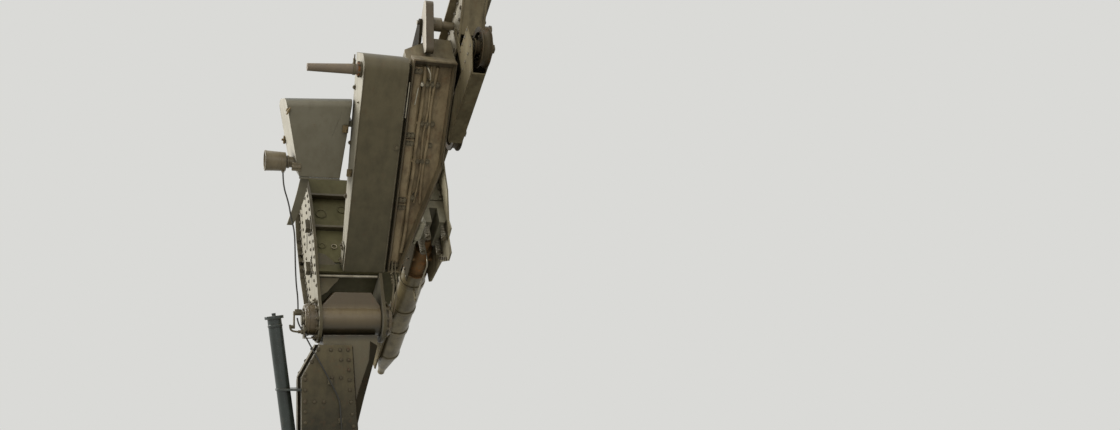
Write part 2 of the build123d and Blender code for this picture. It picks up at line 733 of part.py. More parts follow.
# Rope trough with its half-cone nose and end collar, hung from the beam by straps
trough_up = math.radians((trough_arc - 180) / 2)
trough_start = Vector(0, math.cos(trough_up), 0) + line_up * math.sin(trough_up)
trough_plane = Plane(origin=(0, 0, 0), x_dir=line_dir, z_dir=line_dir.cross(trough_start))
collar_s = nose_s - collar_l
strap_inner = beam_outer
strap_top = beam_bottom + strap_lap
strap_outer = trough_r + strap_t
with BuildPart() as trough:
    with BuildSketch(trough_plane):
        Polygon(
            (trough_s[0], trough_r), (trough_s[1], trough_r), (trough_s[1], trough_r - trough_t),
            (trough_s[0], trough_r - trough_t), align=None,
        )
    revolve(axis=Axis((0, 0, 0), line_dir * -1), revolution_arc=trough_arc)
save(trough, "rope_trough")
with BuildPart() as nose:
    with BuildSketch(trough_plane):
        Polygon(
            (trough_s[1], trough_r), (nose_s, collar_r), (nose_s, collar_r - trough_t),
            (trough_s[1], trough_r - trough_t), align=None,
        )
    revolve(axis=Axis((0, 0, 0), line_dir * -1), revolution_arc=trough_arc)
    with BuildSketch(cross_plane(collar_s)):
        Circle(collar_r)
        Circle(collar_r - trough_t, mode=Mode.SUBTRACT)
    extrude(amount=collar_l + trough_t)
save(nose, "rope_nose")
with BuildPart() as straps:
    for s in strap_s:
        with BuildSketch(cross_plane(s - strap_w / 2)):
            with BuildLine():
                Line((-strap_inner, strap_top), (-strap_inner, 0))
                ThreePointArc((-strap_inner, 0), (0, -strap_inner), (strap_inner, 0))
                Polyline(
                    (strap_inner, 0), (strap_inner, strap_top), (strap_outer, strap_top), (strap_outer, 0)
                )
                ThreePointArc((strap_outer, 0), (0, -strap_outer), (-strap_outer, 0))
                Polyline((-strap_outer, 0), (-strap_outer, strap_top), (-strap_inner, strap_top))
            make_face()
        extrude(amount=strap_w)
    with BuildSketch(side_plane(rod_dia / 2)):
        with Locations((strap_s[0], (strap_lug_n - strap_inner) / 2)):
            Rectangle(strap_lug_w, -strap_lug_n - strap_inner)
    extrude(amount=rod_dia)
    with BuildSketch(trough_plane):
        Polygon(
            (trough_s[0], 0), (trough_s[1], 0), (trough_s[1], trough_r), (trough_s[0], trough_r), align=None
        )
    revolve(axis=Axis((0, 0, 0), line_dir * -1), revolution_arc=trough_arc, mode=Mode.SUBTRACT)
save(straps, "trough_straps")

# Thin operating rod from the joint tube down and back to the trough's first strap
with BuildPart() as brake_rod:
    with BuildLine() as rod_path:
        rod_points = [
            on_line(rod_s, -joint_r), on_line(rod_s, rod_n), on_line(strap_s[0] + strap_lug_w / 2, rod_n)
        ]
        FilletPolyline(*rod_points, radius=rod_bend)
    with BuildSketch(Plane(origin=rod_points[0], z_dir=line_up * -1)):
        Circle(rod_dia / 2)
    sweep(path=rod_path.line)
save(brake_rod, "brake_rod")

# Release shaft through the beam plates, its plumb lever, and the three-cornered bar on the transom
lever_y = -290.0
lever_w = 60.0
lever_r = 40.0
lever_top_at = (1955.0, 640.0)
lever_low_at = (1785.0, 368.0)
lever_eye_r = 34.0
lever_pin_r = 16.0
lever_pin_l = 38.0
boss_r = 52.0
boss_l = 90.0
shaft_far_y = 205.0
shaft_collar_r = 38.0
shaft_collar_t = 15.0
link_t = 22.0
link_eye_r = 30.0
link_back = (1490.0, 1715.0)     # the bar stands on the transom between these s
link_n = (470.0, 615.0)
with BuildPart() as release_shaft:
    with BuildSketch(side_plane(shaft_far_y)):
        with Locations(shaft_at):
            Circle(shaft_r)
    extrude(amount=shaft_far_y - lever_y)
    with BuildSketch(side_plane(shaft_far_y)):
        with Locations(shaft_at):
            Circle(shaft_collar_r)
    extrude(amount=shaft_collar_t)
    with BuildSketch(side_plane(lever_y + boss_l)):
        with Locations(shaft_at):
            Circle(boss_r)
    extrude(amount=boss_l)
save(release_shaft, "release_shaft")
with BuildPart() as release_lever:
    with BuildSketch(side_plane(lever_y)):
        with Locations(lever_top_at, lever_low_at):
            Circle(lever_r)
        with Locations(shaft_at):
            Circle(lever_eye_r)
        make_hull()
    extrude(amount=lever_w)
    with BuildSketch(side_plane(lever_y - lever_w)):
        with Locations(shaft_at):
            Circle(lever_pin_r)
    extrude(amount=lever_pin_l)
save(release_lever, "release_lever")
transom_fall = [
    (outer_leg_y[1], transom_top[1]), (transom_shelf_y, transom_top[0]), (transom_shelf_y, 0), (outer_leg_y[1], 0)
]
with BuildPart() as release_bar:
    with BuildSketch(side_plane(lever_y - lever_w)):
        with Locations(shaft_at):
            Circle(link_eye_r)
        with Locations((sum(link_back) / 2, sum(link_n) / 2)):
            Rectangle(link_back[1] - link_back[0], link_n[1] - link_n[0])
        make_hull()
        with Locations(shaft_at):
            Circle(lever_pin_r, mode=Mode.SUBTRACT)
    extrude(amount=link_t)
    with BuildSketch(cross_plane(transom_s[0])):
        Polygon(*transom_fall, align=None)
    extrude(amount=shaft_at[0] - transom_s[0], mode=Mode.SUBTRACT)
save(release_bar, "release_bar")

# Hood on the side of the upper leg, with rails to the leg and a socket for the horn
with BuildPart() as hood:
    with BuildSketch(side_plane(hood_y[1])):
        Polygon(
            leg_point(hood_top_u[0], hood_front), leg_point(hood_low_u, hood_front),
            leg_point(hood_low_u, hood_back), leg_point(hood_top_u[1], hood_back), align=None,
        )
    extrude(amount=hood_y[1] - hood_y[0])
    for u, v, radius in zip(hood_top_u, (hood_front, hood_back), hood_round):
        top_edge = on_line(*leg_point(u, v), sum(hood_y) / 2)
        fillet(hood.edges().filter_by(Axis.Y).sort_by_distance(top_edge)[0], radius=radius)
    corner_a = on_line(*leg_point(hood_top_u[0], hood_front), hood_y[0])
    corner_b = on_line(*leg_point(hood_low_u, hood_front), hood_low_y[0])
    corner_c = on_line(*leg_point(hood_low_u, hood_back), hood_low_y[1])
    cut_normal = (corner_b - corner_a).cross(corner_c - corner_a)
    if cut_normal.Y < 0:
        cut_normal = cut_normal * -1
    split(bisect_by=Plane(origin=corner_a, z_dir=cut_normal), keep=Keep.TOP)
    with BuildSketch(side_plane(outer_leg_y[0])):
        Polygon(
            leg_point(rail_u[0], rail_v[0]), leg_point(rail_u[1], rail_v[0]), leg_point(rail_u[1], rail_v[1]),
            leg_point(rail_u[0], rail_v[1]), align=None,
        )
    extrude(amount=outer_leg_y[0] - hood_y[1])
    with BuildSketch(side_plane(horn_socket_y)):
        with Locations(leg_point(horn_u, horn_v)):
            Circle(horn_stem_dia / 2)
    extrude(amount=horn_socket_y - horn_y[0], mode=Mode.SUBTRACT)
save(hood, "hood")

# Horn: flared drum with a dished mouth on a stem into the hood
horn_at = leg_point(horn_u, horn_v)
with BuildPart() as horn:
    with BuildSketch(turn_plane(*horn_at)):
        Polygon(
            (0, horn_socket_y), (horn_stem_dia / 2, horn_socket_y), (horn_stem_dia / 2, horn_y[1]),
            (horn_r, horn_y[1]), (horn_r + horn_lip, horn_y[0]), (horn_r - horn_lip, horn_y[0]),
            (horn_r - horn_dish / 2, horn_y[0] + horn_dish), (0, horn_y[0] + horn_dish), align=None,
        )
    revolve(axis=Axis(on_line(*horn_at), (0, 1, 0)))
    gland_top = on_line(*horn_at, gland_y)
    with BuildSketch(Plane.XY.offset(gland_top.Z - horn_r - gland_l)):
        with Locations((gland_top.X, gland_y)):
            Circle(cable_dia)
    extrude(amount=gland_l + 20)
save(horn, "horn")

# Hand grip: round fitting on the leg and a tapering sleeve that droops outwards
with BuildPart() as grip_fitting:
    with BuildSketch(side_plane(outer_leg_y[0])):
        with Locations(leg_point(grip_u, grip_v)):
            Circle(grip_r[0])
    extrude(amount=outer_leg_y[0] - grip_y[1])
save(grip_fitting, "grip_fitting")
with BuildPart() as grip_sleeve:
    with BuildSketch(side_plane(grip_y[1])):
        with Locations(leg_point(grip_u, grip_v)):
            Circle(grip_r[1])
    with BuildSketch(side_plane(grip_y[0])):
        with Locations(leg_point(grip_u - grip_droop, grip_v)):
            Circle(grip_r[2])
    loft()
save(grip_sleeve, "grip_sleeve")

# Curved curtain under the hood: y and u of its two edges, from the hood down
curtain_t = 8.0
curtain_left = [(-1180.0, hood_low_u), (-1215.0, -1290.0), (-1262.0, -1500.0)]
curtain_right = [(-1215.0, -1500.0), (-1150.0, -1300.0), (-1120.0, hood_low_u)]
with BuildPart() as curtain:
    with BuildSketch(leg_plane(hood_front - 60)):
        with BuildLine():
            ThreePointArc(*curtain_left)
            Line(curtain_left[-1], curtain_right[0])
            ThreePointArc(*curtain_right)
            Line(curtain_right[-1], curtain_left[0])
        make_face()
    extrude(amount=-curtain_t)
save(curtain, "curtain")


def cable(name, points):
    """Tube along straight runs joined by the largest arcs that they allow."""
    runs = [points[i + 1] - points[i] for i in range(len(points) - 1)]
    radii = []
    for before, after in zip(runs, runs[1:]):
        turn = math.radians(before.get_angle(after))
        radii.append(0.45 * min(before.length, after.length) / math.tan(turn / 2))
    print(name, "arc radii", [round(r) for r in radii])
    with BuildPart() as tube:
        with BuildLine() as path:
            FilletPolyline(*points, radius=radii)
        with BuildSketch(Plane(origin=points[0], z_dir=runs[0])):
            Circle(cable_dia / 2)
        sweep(path=path.line)
    save(tube, name)


# Thin cable from the horn to the shaft stand; x and height are shares of the way from the pivot to the gland
knob_top = knob_z + knob_r + 10
cable_start = on_line(*horn_at, gland_y) - Vector(0, 0, horn_r + gland_l)
fall = cable_start - pivot
fall_shares = [
    (1.0, gland_y, 0.913), (0.946, -1275, 0.794), (0.773, -1254, 0.695), (0.635, -1225, 0.609),
    (0.552, -1219, 0.493), (0.414, -1214, 0.370), (0.262, -1204, 0.240),
]
carriage_route = [cable_start]
for share_x, y, share_z in fall_shares:
    carriage_route.append(pivot + Vector(share_x * fall.X, y, share_z * fall.Z))
for height in (2 * knob_top, knob_top):
    carriage_route.append(pivot + Vector(0, outer_cable_y, height))
cable("cable_carriage", carriage_route)

# The cable's second length, from the pivot down the hanger; points from the pivot
hanger_route = [
    (0, -1191, 14), (10, -1186, -28), (40, -1158, -85), (90, -1130, -150), (152, -1100, -225),
    (176, -1042, -335), (180, -984, -444), (176, -933, -540), (168, -886, -640), (165, -876, -750),
    (165, -870, -870),
]
cable("cable_hanger", [pivot + Vector(*p) for p in hanger_route])

# Clips that hold the cable off the front hanger plate: y, height and stand-off
clip_w = 34.0
clip_h = 40.0
clip_spots = [(-958.0, -492.0, 21.4), (-873.0, -800.0, 8.7)]
with BuildPart() as cable_clips:
    for y, height, stand_off in clip_spots:
        with BuildSketch(hang_plane(hanger_depth / 2)):
            with Locations((y, height)):
                Rectangle(clip_w, clip_h)
        extrude(amount=stand_off)
save(cable_clips, "cable_clips")
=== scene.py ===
# Looks of the carriage and its hanger: finishes, fasteners, fittings, thin cables, light and camera.
# Sizes in the dictionaries are millimetres, apart from those of fasteners, cables, floor, lamps and camera, which
# are metres. On the carriage s runs up the rope, n square up from it and y across; u runs up a leg and v out from
# its front face. On the hanger x, y, z start at the pivot.
import math

import bmesh
import bpy
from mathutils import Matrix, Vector


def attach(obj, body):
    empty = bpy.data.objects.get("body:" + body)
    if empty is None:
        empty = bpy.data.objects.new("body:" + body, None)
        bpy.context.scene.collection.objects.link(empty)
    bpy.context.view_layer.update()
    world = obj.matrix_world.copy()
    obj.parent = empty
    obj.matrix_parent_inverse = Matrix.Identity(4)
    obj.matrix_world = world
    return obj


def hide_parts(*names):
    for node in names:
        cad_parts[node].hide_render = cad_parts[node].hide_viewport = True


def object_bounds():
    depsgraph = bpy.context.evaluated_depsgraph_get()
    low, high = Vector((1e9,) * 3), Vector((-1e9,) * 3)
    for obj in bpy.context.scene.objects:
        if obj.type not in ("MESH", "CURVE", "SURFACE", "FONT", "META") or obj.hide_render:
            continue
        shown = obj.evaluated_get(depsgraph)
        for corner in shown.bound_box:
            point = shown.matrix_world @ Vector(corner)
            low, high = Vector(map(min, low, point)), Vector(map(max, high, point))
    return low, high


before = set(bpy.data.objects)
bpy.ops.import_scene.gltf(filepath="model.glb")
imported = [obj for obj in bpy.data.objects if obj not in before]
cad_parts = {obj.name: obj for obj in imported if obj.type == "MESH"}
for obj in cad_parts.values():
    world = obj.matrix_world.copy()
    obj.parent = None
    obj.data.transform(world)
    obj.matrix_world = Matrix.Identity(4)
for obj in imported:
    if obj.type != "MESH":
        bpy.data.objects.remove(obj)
cadBox = [list(corner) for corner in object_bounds()]
print("Frame loaded:", len(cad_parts), "nodes")

# Places
line = {"slope": 34.0, "legRake": 26.0, "legFootS": 225.0, "legFootN": -588.0, "legLength": 1775.0, "pivotN": -908.0}
slope, rake = math.radians(line["slope"]), math.radians(line["legRake"])
legTop = (line["legFootS"] + line["legLength"] * math.cos(rake),
          line["legFootN"] + line["legLength"] * math.sin(rake))
lineDir = Vector((math.cos(slope), 0, math.sin(slope)))
lineUp = Vector((-math.sin(slope), 0, math.cos(slope)))
across = Vector((0, 1, 0))
upright = Vector((0, 0, 1))
mm = 0.001


def onLine(s, n, y=0.0):
    return (lineDir * s + lineUp * n + across * y) * mm


def onLeg(u, v, y=0.0, side=1):
    s = legTop[0] + u * math.cos(rake) + v * math.sin(rake)
    n = legTop[1] + u * math.sin(rake) - v * math.cos(rake)
    return onLine(side * s, n, y)


def legOut(side=1):
    return lineDir * (side * math.sin(rake)) - lineUp * math.cos(rake)


def legAlong(side=1):
    return lineDir * (side * math.cos(rake)) + lineUp * math.sin(rake)


pivot = onLine(0, line["pivotN"])


def onHanger(x, y, z):
    return pivot + Vector((x, y, z)) * mm


# Meshes
def addPrism(bm, outline, push):
    near = [bm.verts.new(p) for p in outline]
    far = [bm.verts.new(Vector(p) + push) for p in outline]
    bm.faces.new(near[::-1])
    bm.faces.new(far)
    for i in range(len(near)):
        j = (i + 1) % len(near)
        bm.faces.new((near[i], near[j], far[j], far[i]))


def addPlate(bm, outline, y, thick, side=1):
    addPrism(bm, [onLine(side * s, n, y) for s, n in outline], across * thick * mm)


def addBar(bm, start, end, sideA, sideB):
    addPrism(bm, [start, start + sideA, start + sideA + sideB, start + sideB], end - start)


def addBox(bm, centre, xAxis, yAxis, size):
    xHalf, yHalf = xAxis.normalized() * size[0] * mm / 2, yAxis.normalized() * size[1] * mm / 2
    depth = xAxis.cross(yAxis).normalized() * size[2] * mm
    start = centre - depth / 2
    addPrism(bm, [start - xHalf - yHalf, start + xHalf - yHalf, start + xHalf + yHalf, start - xHalf + yHalf], depth)


def addTurned(bm, centre, axis, profile, steps=36, closed=False):
    axis = axis.normalized()
    sideways = axis.orthogonal().normalized()
    other = axis.cross(sideways)
    rings = []
    for radius, height in profile:
        middle = centre + axis * height * mm
        turns = [2 * math.pi * k / steps for k in range(steps)] if radius else [0.0]
        rings.append([
            bm.verts.new(middle + (sideways * math.cos(t) + other * math.sin(t)) * radius * mm) for t in turns
        ])
    pairs = list(zip(rings, rings[1:])) + ([(rings[-1], rings[0])] if closed else [])
    for lower, upper in pairs:
        for k in range(steps):
            j = (k + 1) % steps
            if len(lower) == 1:
                bm.faces.new((lower[0], upper[k], upper[j]))
            elif len(upper) == 1:
                bm.faces.new((lower[k], upper[0], lower[j]))
            else:
                bm.faces.new((lower[k], lower[j], upper[j], upper[k]))


def addRing(bm, centre, axis, outer, inner, start, end, steps=36):
    addTurned(bm, centre, axis, [(outer, start), (outer, end), (inner, end), (inner, start)], steps, closed=True)


def addRod(bm, points, radius, steps=12):
    points = [Vector(p) for p in points]
    sideways, ring = None, None
    for i, p in enumerate(points):
        before = points[max(i, 1)] - points[max(i, 1) - 1]
        after = points[min(i + 1, len(points) - 1)] - points[min(i, len(points) - 2)]
        along = (before.normalized() + after.normalized()).normalized()
        sideways = along.orthogonal() if sideways is None else sideways - along * sideways.dot(along)
        sideways.normalize()
        other = along.cross(sideways)
        turns = [2 * math.pi * k / steps for k in range(steps)]
        fresh = [bm.verts.new(p + (sideways * math.cos(t) + other * math.sin(t)) * radius * mm) for t in turns]
        if ring:
            for k in range(steps):
                j = (k + 1) % steps
                bm.faces.new((ring[k], ring[j], fresh[j], fresh[k]))
        else:
            bm.faces.new(fresh[::-1])
        ring = fresh
    bm.faces.new(ring)


def rounded(points, rounds=3):
    points = [Vector(p) for p in points]
    for _ in range(rounds):
        cut = [points[0]]
        for a, b in zip(points, points[1:]):
            cut += [a.lerp(b, 0.25), a.lerp(b, 0.75)]
        points = cut + [points[-1]]
    return points


edgeAngles = {"sharp": 35.0, "sharpGrown": 40.0, "bevelled": 40.0}


def finishPiece(name, bm, finish, bevel=0.0, body="carriage"):
    bmesh.ops.recalc_face_normals(bm, faces=bm.faces)
    mesh = bpy.data.meshes.new(name)
    bm.to_mesh(mesh)
    bm.free()
    mesh.materials.append(finishes[finish])
    for polygon in mesh.polygons:
        polygon.use_smooth = True
    mesh.set_sharp_from_angle(angle=math.radians(edgeAngles["sharp"]))
    piece = bpy.data.objects.new(name, mesh)
    bpy.context.scene.collection.objects.link(piece)
    if bevel:
        rounding = piece.modifiers.new("Rounding", "BEVEL")
        rounding.width = bevel * mm
        rounding.segments = 2
        rounding.limit_method = "ANGLE"
        rounding.angle_limit = math.radians(edgeAngles["bevelled"])
        rounding.harden_normals = True
    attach(piece, body)
    return piece


# Finishes
def tone(red, green, blue):
    def straight(c):
        c /= 255
        return c / 12.92 if c <= 0.04045 else ((c + 0.055) / 1.055) ** 2.4
    return (straight(red), straight(green), straight(blue), 1.0)


def addNode(tree, kind, inputs=None, **settings):
    node = tree.nodes.new(kind)
    for key, value in settings.items():
        setattr(node, key, value)
    for key, value in (inputs or {}).items():
        if isinstance(value, bpy.types.NodeSocket):
            tree.links.new(value, node.inputs[key])
        else:
            node.inputs[key].default_value = value
    return node


def ranged(tree, value, low=0.0, high=1.0, least=0.0, most=1.0):
    return addNode(tree, "ShaderNodeMapRange", {
        "Value": value, "From Min": low, "From Max": high, "To Min": least, "To Max": most}).outputs[0]


def axisOf(tree, vector, axis):
    return addNode(tree, "ShaderNodeSeparateXYZ", {0: vector}).outputs[axis]


def patches(tree, place, scale, low, high, stretch=(1, 1, 1), shift=0.0, detail=7.0):
    moved = addNode(tree, "ShaderNodeMapping", {"Vector": place, "Location": (shift, -shift, shift), "Scale": stretch})
    noise = addNode(tree, "ShaderNodeTexNoise", {
        "Vector": moved.outputs[0], "Scale": scale, "Detail": detail, "Roughness": 0.62})
    return ranged(tree, noise.outputs["Fac"], low, high)


def blend(tree, share, colourA, colourB):
    return addNode(tree, "ShaderNodeMix", {0: share, 6: colourA, 7: colourB}, data_type="RGBA").outputs[2]


def calc(tree, operation, a, b, clamp=False):
    return addNode(tree, "ShaderNodeMath", {0: a, 1: b}, operation=operation, use_clamp=clamp).outputs[0]


# Weathered paint or metal: patchy coat, streaks that run down, rust, grime with painted shade in corners, bare edges,
# dust on top faces (with a painted sky tint on some looks), paint paler towards the top, a painted side tone on
# faces turned to -y, and painted highlight and shade bands by height on the hub.
# coat holds the noise of each layer, then the limits and amounts; steel holds what a look doesn't say itself.
coat = {
    "chips": {"scale": 22.0, "low": 0.40, "high": 0.58, "shift": 3.1},
    "mottle": {"scale": 2.4, "low": 0.36, "high": 0.66},
    "cloud": {"scale": 9.0, "low": 0.38, "high": 0.68, "shift": 5.0},
    "streaks": {"scale": 5.0, "low": 0.45, "high": 0.75, "stretch": (2.6, 2.6, 0.28), "shift": 1.7},
    "spots": {"scale": 16.0, "high": 0.72, "shift": 7.3},
    "specks": {"scale": 95.0, "low": 0.50, "high": 0.62, "shift": 2.0, "detail": 3.0},
    "dustAndSkyTint": {"scale": 6.0, "low": 0.30, "high": 0.62, "shift": 9.0},
    "edges": (0.995, 0.86), "corners": (0.85, 0.25), "cornerReach": 0.09, "upward": (0.35, 0.95),
    "leftward": (-0.70, -0.97), "spotsFrom": 0.60, "spotsMore": 0.12, "edgeRust": 0.55, "speckRust": 0.35,
    "rustMore": 0.65, "cloudBleach": 0.35, "paintedShadingShare": 0.85, "dull": 0.5, "rustHigh": 0.7, "speckHigh": 0.25,
    "cloudHigh": 0.6, "reliefDepth": 2.0,
}


def weathered(name, look):
    material = bpy.data.materials.new(name)
    material.use_nodes = True
    tree = material.node_tree
    shader = tree.nodes["Principled BSDF"]
    place = addNode(tree, "ShaderNodeTexCoord").outputs["Object"]
    normal = addNode(tree, "ShaderNodeNewGeometry").outputs["Normal"]
    softEdge = addNode(tree, "ShaderNodeBevel", {"Radius": look["edge"] * mm}, samples=6).outputs[0]
    bend = addNode(tree, "ShaderNodeVectorMath", {0: softEdge, 1: normal}, operation="DOT_PRODUCT").outputs["Value"]
    edges = ranged(tree, bend, *coat["edges"])
    chips = calc(tree, "MULTIPLY", edges, patches(tree, place, **coat["chips"]))
    mottle = patches(tree, place, **coat["mottle"])
    cloud = patches(tree, place, **coat["cloud"])
    streaks = calc(tree, "MULTIPLY", patches(tree, place, **coat["streaks"]), look["streaks"])
    spots = patches(tree, place, low=coat["spotsFrom"] - coat["spotsMore"] * look["rustShare"], **coat["spots"])
    specks = patches(tree, place, **coat["specks"])
    rustPlaces = calc(tree, "MAXIMUM", spots, calc(tree, "MULTIPLY", edges, coat["edgeRust"]))
    speckled = calc(tree, "MULTIPLY", specks, coat["speckRust"])
    rustDepth = calc(tree, "ADD", speckled, coat["rustMore"] * look["rustShare"])
    rusty = calc(tree, "MULTIPLY", rustPlaces, rustDepth, clamp=True)
    # Ambient occlusion darkens corners and recesses toward the soot tone: grime together with painted shade.
    corners = addNode(tree, "ShaderNodeAmbientOcclusion", {"Distance": coat["cornerReach"]}, samples=4).outputs["AO"]
    grimeAndShade = ranged(tree, corners, *coat["corners"], most=look["grimeAndShade"])
    # Top faces take dust; on the hood and legs the top tone is also a painted grey sky tint.
    topSides = ranged(tree, axisOf(tree, normal, "Z"), *coat["upward"], most=look["dustAndSkyTint"])
    dustAndSkyTintMask = calc(tree, "MULTIPLY", topSides, patches(tree, place, **coat["dustAndSkyTint"]))
    paint, shade, paleTone = (tone(*colours) for colours in look["paint"])
    colour = blend(tree, mottle, paint, shade)
    fadeShare = calc(tree, "MULTIPLY", cloud, coat["cloudBleach"])
    # Paint turns paler towards the top and darker towards the bottom, by height; on the hood this is painted top light.
    if look.get("paleTowardTop"):
        byHeight = ranged(tree, axisOf(tree, place, "Z"), *look["paleTowardTop"], most=look["paleTowardTopMost"])
        fadeShare = calc(tree, "ADD", fadeShare, byHeight, clamp=True)
    colour = blend(tree, fadeShare, colour, paleTone)
    # Colour bands by height paint a highlight and shade onto the hub's barrel.
    if look.get("paintedShadingBands"):
        (low, _), (high, _) = look["paintedShadingBands"][0], look["paintedShadingBands"][-1]
        ramp = addNode(tree, "ShaderNodeValToRGB", {"Fac": ranged(tree, axisOf(tree, place, "Z"), low, high)})
        stops = ramp.color_ramp.elements
        while len(stops) < len(look["paintedShadingBands"]):
            stops.new(0.5)
        for stop, (z, layer) in zip(stops, look["paintedShadingBands"]):
            stop.position, stop.color = (z - low) / (high - low), tone(*layer)
        colour = blend(tree, coat["paintedShadingShare"], colour, ramp.outputs["Color"])
    # Faces turned to -y take a painted side tone: pale painted light on most looks, dark painted shade on bogies and
    # wheels.
    if look.get("paintedSideShare"):
        paintedSideMask = ranged(tree, axisOf(tree, normal, "Y"), *coat["leftward"], most=look["paintedSideShare"])
        colour = blend(tree, paintedSideMask, colour, tone(*look["paintedSideTone"]))
    for amount, layer in (
        (streaks, "stain"), (rusty, "rust"), (grimeAndShade, "sootAndShade"), (calc(tree, "MULTIPLY", chips, look["wear"]), "bare"),
        (dustAndSkyTintMask, "dustAndSkyTintTone"),
    ):
        colour = blend(tree, amount, colour, tone(*look[layer]))
    tree.links.new(colour, shader.inputs["Base Color"])
    shader.inputs["Specular IOR Level"].default_value = look["shine"]
    smoothest, roughest = look["rough"]
    dull = calc(tree, "MAXIMUM", calc(tree, "MULTIPLY", mottle, coat["dull"]), rusty)
    tree.links.new(ranged(tree, dull, least=smoothest, most=roughest), shader.inputs["Roughness"])
    if look.get("metal"):
        shader.inputs["Metallic"].default_value = look["metal"]
    relief = calc(tree, "MULTIPLY", rusty, coat["rustHigh"])
    for layer, high in ((specks, "speckHigh"), (cloud, "cloudHigh")):
        relief = calc(tree, "ADD", relief, calc(tree, "MULTIPLY", layer, coat[high]))
    bump = addNode(tree, "ShaderNodeBump", {
        "Strength": look["relief"], "Distance": coat["reliefDepth"] * mm, "Height": relief, "Normal": softEdge})
    tree.links.new(bump.outputs[0], shader.inputs["Normal"])
    return material


